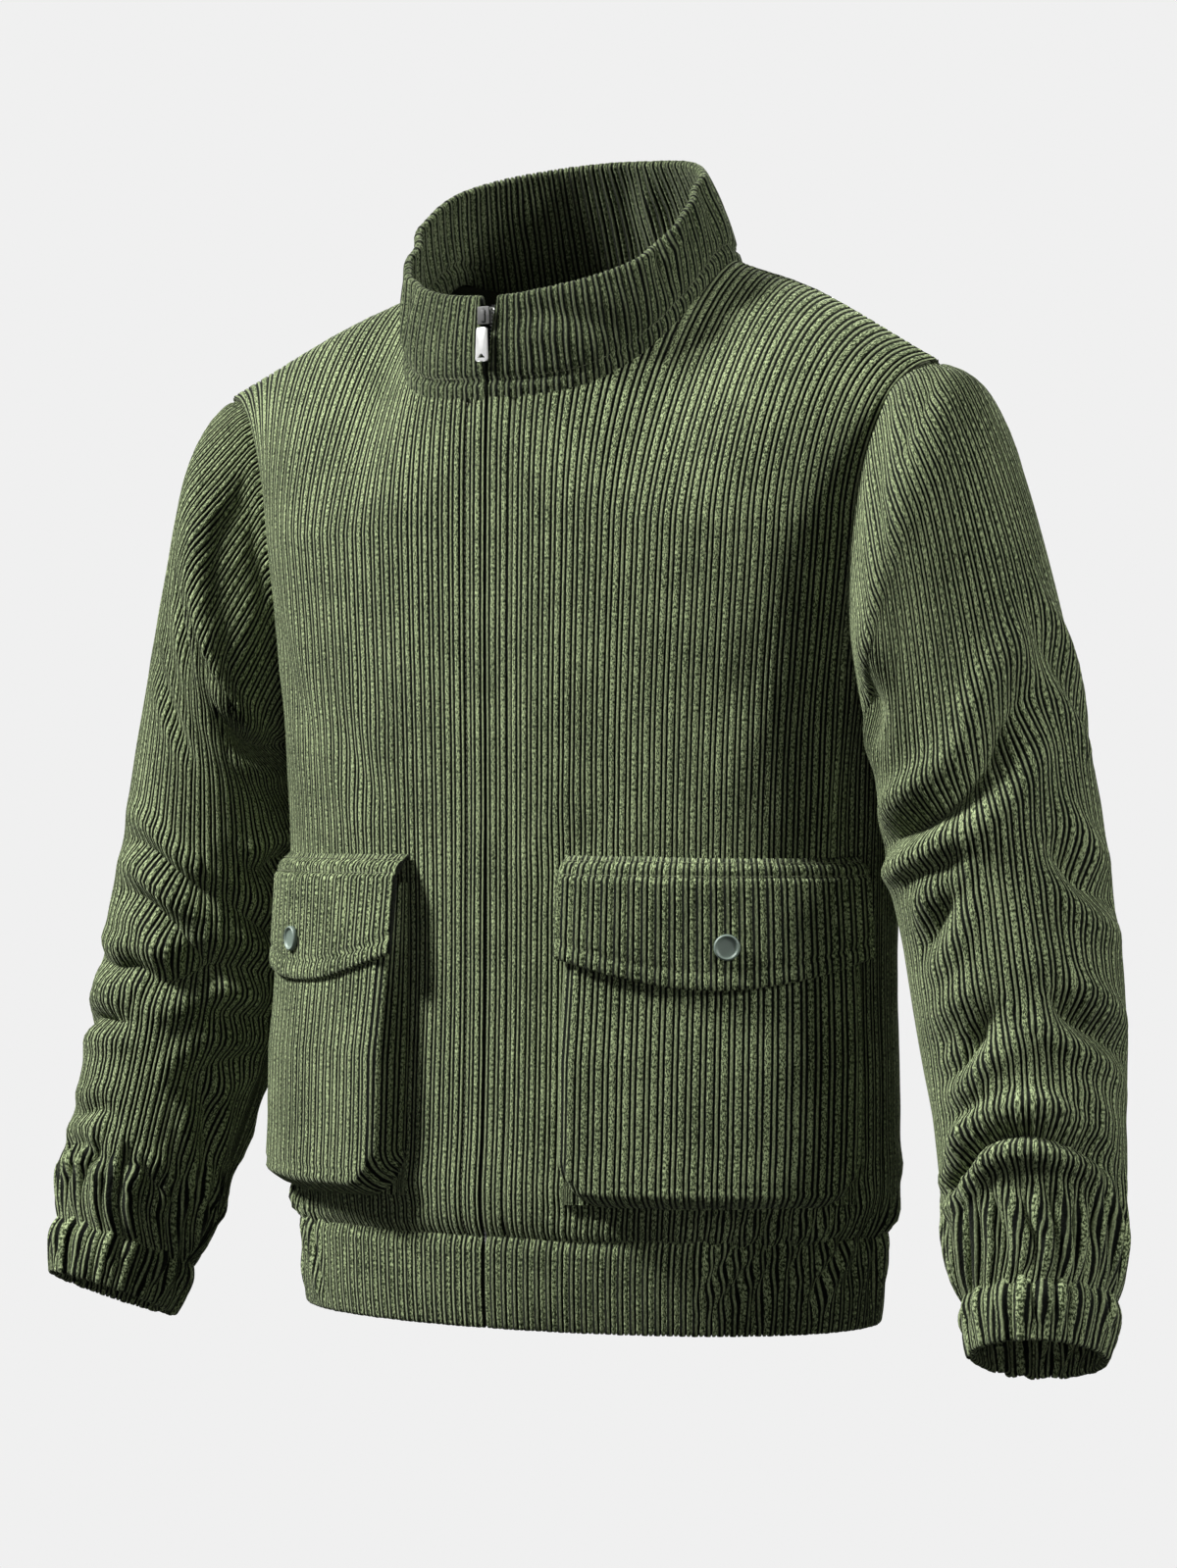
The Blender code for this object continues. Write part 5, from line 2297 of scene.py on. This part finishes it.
FRONT_CREASES: dict[Hand, Rows] = {
    Hand.LEFT: (
        (20, 120, 50, 0, 268, 345, 255, 300, 250, 250, 256, 215),
        (11, 150, 50, 0, 240, 400, 225, 350, 205, 300, 185, 262),
        (8, 160, 50, 0, 185, 380, 165, 330, 140, 290, 120, 262),
        (12, 130, 50, 0, 110, 300, 85, 262, 50, 225, 30, 205),
        (30, 80, 90, 0, 275, 50, 240, 28, 200, 20, 150, 22),
        (18, 80, 80, 0, 120, 30, 85, 20, 40, 24),
    ),
    Hand.RIGHT: (
        (26, 120, 50, 0, 262, 330, 250, 290, 246, 240, 252, 205),
        (18, 150, 50, 0, 225, 420, 200, 372, 176, 330, 150, 300),
        (20, 140, 50, 0, 130, 330, 105, 290, 80, 262),
        (28, 80, 90, 0, 270, 46, 232, 26, 190, 21, 140, 24),
        (16, 80, 80, 0, 110, 28, 70, 20, 30, 26),
    ),
}

BACK_CREASES: Rows = (
    (30, 150, 50, 0, -230, 400, -180, 370, -120, 352, -70, 346),
    (34, 150, 50, 0, 235, 410, 190, 372, 140, 350, 100, 340),
    (26, 140, 50, 0, -120, 180, -60, 160, 10, 164, 80, 178),
    (28, 130, 50, 0, 215, 230, 160, 200, 110, 190),
    (24, 130, 50, 0, -230, 240, -190, 200, -150, 186),
    (34, 90, 90, 0, -250, 40, -180, 22, -100, 26, -30, 20),
    (34, 90, 90, 0, 30, 22, 110, 27, 190, 20, 255, 38),
)

COLLAR_CREASES: Rows = (
    (50, 100, 60, 0, 520, 90, 512, 66, 522, 44, 514, 20),
    (30, 80, 60, 0, 560, 14, 570, 34, 596, 50, 625, 52),
    (30, 100, 50, 0, 470, 76, 455, 50, 462, 22),
    (34, 90, 50, 0, 78, 12, 90, 40, 82, 70),
    (32, 100, 50, 0, 130, 80, 142, 52, 134, 20),
    (26, 110, 50, 0, 240, 22, 252, 50, 246, 78),
    (28, 110, 50, 0, 350, 20, 342, 52, 352, 80),
)

SLEEVE_GATHERS = Gathers(0.050, 0.540, 0.4974, -0.046, 0.0120, 0.0036, 0.0042, 0.1, 5)
CUFF_GATHERS = Gathers(0.006, 0.276, 0.0, 0.046, 0.0115, 0.0026, 0.0036, 0.1, 8)
BAND_GATHERS: dict[str, tuple[Gathers, ...]] = {
    "hem_front_left": (Gathers(0.150, 0.256, 0.0, 0.044, 0.0140, 0.0030, 0.0050, -0.5, 3),),
    "hem_front_right": (Gathers(0.165, 0.256, 0.0, 0.044, 0.0150, 0.0028, 0.0050, -0.4, 4),),
    "hem_back": (Gathers(0.006, 0.488, 0.0, 0.040, 0.0130, 0.0028, 0.0046, 0.1, 6),),
}
HEM_GATHERS: dict[str, tuple[Gathers, ...]] = {
    "front_left": (Gathers(0.150, 0.280, 0.0, 0.034, 0.0140, 0.0026, 0.0050, 0.3, 11),),
    "front_right": (Gathers(0.165, 0.280, 0.0, 0.034, 0.0150, 0.0024, 0.0050, 0.3, 12),),
    "back": (Gathers(-0.270, 0.270, 0.0, 0.036, 0.0130, 0.0028, 0.0050, 0.1, 13),),
}


LIP_STITCH = {Hand.RIGHT: 0.0145, Hand.LEFT: 0.0180}
LIP_STITCH_ENDS = (0.004, 0.515)
COLLAR_STRIP = 0.0135
COLLAR_STITCH = 0.015
FLAP_STITCHES = (0.0020, 0.0100)
COLLAR_HALF = 0.0018
FLAP_HALF = 0.0012


class Jacket:
    """Builds every piece, attaches it to what it moves with and hides the solid it stands for."""

    def __init__(self) -> None:
        """Makes the forms and the materials."""
        self.form = BodyForm()
        self.body = Body(self.form)
        self.arms = {hand: Arm(self.form, SleeveForm(), hand) for hand in Hand}
        self.pockets = PocketForm()
        self.zip = ZipForm()
        self.corduroy = Corduroy().build()
        # The collar wears a copy of the corduroy at half the tone: painted shade on the collar.
        self.shaded_collar_corduroy = Corduroy(name="shaded_collar_corduroy", tone=0.50).build()
        self.thread = Thread("stitch_thread", (0.150, 0.168, 0.098)).build()
        self.tape = Thread("zip_weave", (0.014, 0.014, 0.015), 0.85, 1800.0).build()
        self.silver = Metal("silver_plate", (0.86, 0.86, 0.84), 0.34, 0.55, 0.10).build()
        self.dull = Metal("slider_plate", (0.16, 0.16, 0.155), 0.42, 0.6, 0.3).build()
        self.paint = Metal("snap_paint", (0.165, 0.215, 0.180), 0.52, 0.15).build()
        self.seams: list[Array] = []

    def dress(self, made: bpy.types.Object, node: str, body: str = "jacket") -> None:
        """Attaches a piece to what it moves with, and hides the solid it takes the place of.

        Args:
            made: the finished piece.
            node: the solid it takes the place of.
            body: what it moves with.
        """
        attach(made, body)
        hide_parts(node)
        if node in CUTS:
            cut = CUTS[node]
            area = cut.share * cut.width * cut.length

    def stitch(self, cloth: Cloth, places: Sequence[tuple[float, float]], count: int) -> None:
        """Adds a line of stitching.

        Args:
            cloth: the piece it is sewn on.
            places: where it goes, in cloth coordinates.
            count: how many points it has.
        """
        knots = np.array([(x, y, 0.0) for x, y in places])
        self.seams.append(cloth.line(resampled(knots, count)[:, :2]))

    def build_body(self) -> None:
        """The fronts and the back."""
        for hand in Hand:
            cloth = self.body.front(hand)
            cloth.crease(Crease.table(FRONT_CREASES[hand])).ruffle(0.0008, 0.055, 5 + hand.value)
            cloth.gather(HEM_GATHERS[cloth.name])
            lip = Groove(LIP_STITCH[hand], True, 0.0012, 0.0017)
            self.dress(single_shell(Body.tuck_hem(cloth), [lip], self.corduroy), cloth.name)
            self.stitch(cloth, [(lip.place, end) for end in LIP_STITCH_ENDS], 200)
        cloth = self.body.back().crease(Crease.table(BACK_CREASES)).ruffle(0.0014, 0.05, 9)
        cloth.gather(HEM_GATHERS[cloth.name])
        self.dress(single_shell(Body.tuck_hem(cloth), [], self.corduroy), cloth.name)

    def build_arms(self) -> None:
        """The sleeves and the cuffs."""
        for arm in self.arms.values():
            sleeve = arm.sleeve().crease(Crease.table(SLEEVE_CREASES[arm.hand])).ruffle(0.0015, 0.04, 17)
            sleeve.gather((SLEEVE_GATHERS,))
            self.dress(single_shell(sleeve, [], self.corduroy), sleeve.name)
            cuff = arm.cuff().gather((CUFF_GATHERS,))
            self.dress(double_shell(cuff, [], self.corduroy), cuff.name)

    def build_collar(self) -> None:
        """The stand collar."""
        cloth = CollarForm().cloth(self.form).crease(Crease.table(COLLAR_CREASES)).ruffle(0.0016, 0.05, 23)
        strip = Groove(COLLAR_STRIP, depth=0.0016, width=0.0020)
        made = double_shell(cloth, [strip], self.shaded_collar_corduroy, COLLAR_HALF)
        self.dress(made, cloth.name)
        width = float(cloth.wales.across[-1])
        self.stitch(cloth, ((0.004, COLLAR_STITCH), (width - 0.004, COLLAR_STITCH)), 200)

    def build_band(self) -> None:
        """The hem band."""
        form = BandForm()
        for cloth in (*(form.front(self.body, hand) for hand in Hand), form.back(self.body)):
            cloth.gather(BAND_GATHERS[cloth.name])
            self.dress(double_shell(cloth, [], self.corduroy), cloth.name)

    def build_pockets(self) -> None:
        """The pockets, their flaps and the snap caps."""
        for hand in Hand:
            bag = self.pockets.pocket(self.body, hand)
            bag.ruffle(0.0018, 0.05, 31 + hand.value)
            first, last = self.pockets.edges()
            edges = [Groove(first, True), Groove(last, True, from_end=True), Groove(0.0125, from_end=True)]
            self.dress(single_shell(bag, edges, self.corduroy), bag.name)
            flap = self.pockets.flap(self.body, hand)
            flap.ruffle(0.0010, 0.05, 41 + hand.value)
            grooves = [Groove(row) for row in FLAP_STITCHES]
            grooves.append(Groove(0.0085, width=0.0016, from_end=True))
            self.dress(double_shell(flap, grooves, self.corduroy, FLAP_HALF), flap.name)
            width = float(flap.wales.across[-1])
            for row in FLAP_STITCHES:
                self.stitch(flap, ((0.002, row), (width - 0.002, row)), 120)
            cap = SnapForm().build(hand, self.paint)
            self.dress(cap, hand.of("snap"))

    def build_zip(self) -> None:
        """The zip's tapes, teeth, slider and pull tab."""
        for hand in Hand:
            self.dress(self.zip.tape(hand, self.tape), hand.of("zip_tape"))
        self.dress(self.zip.slider(self.dull), "zip_slider")
        self.dress(self.zip.tab(self.silver), "pull_tab", "pull_tab")
        tooth = Run("zip_teeth", 0.0022, (0.0010, 0.0009, 0.0005), "CUBE")
        teeth = tooth.lay(self.zip.chain(), self.silver)
        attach(teeth, "jacket")

    def build_stitches(self) -> None:
        """Every line of stitching, in one piece."""
        made = Run("stitches", 0.0034, (0.00032, 0.00032, 0.00135)).lay(self.seams, self.thread)
        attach(made, "jacket")


def main() -> None:
    """Builds the jacket and the studio."""
    logging.basicConfig(level=logging.INFO, format="%(message)s")
    jacket = Jacket()
    jacket.build_body()
    jacket.build_arms()
    jacket.build_collar()
    jacket.build_band()
    jacket.build_pockets()
    jacket.build_zip()
    jacket.build_stitches()
    Studio().build()


if __name__ == "__main__":
    main()
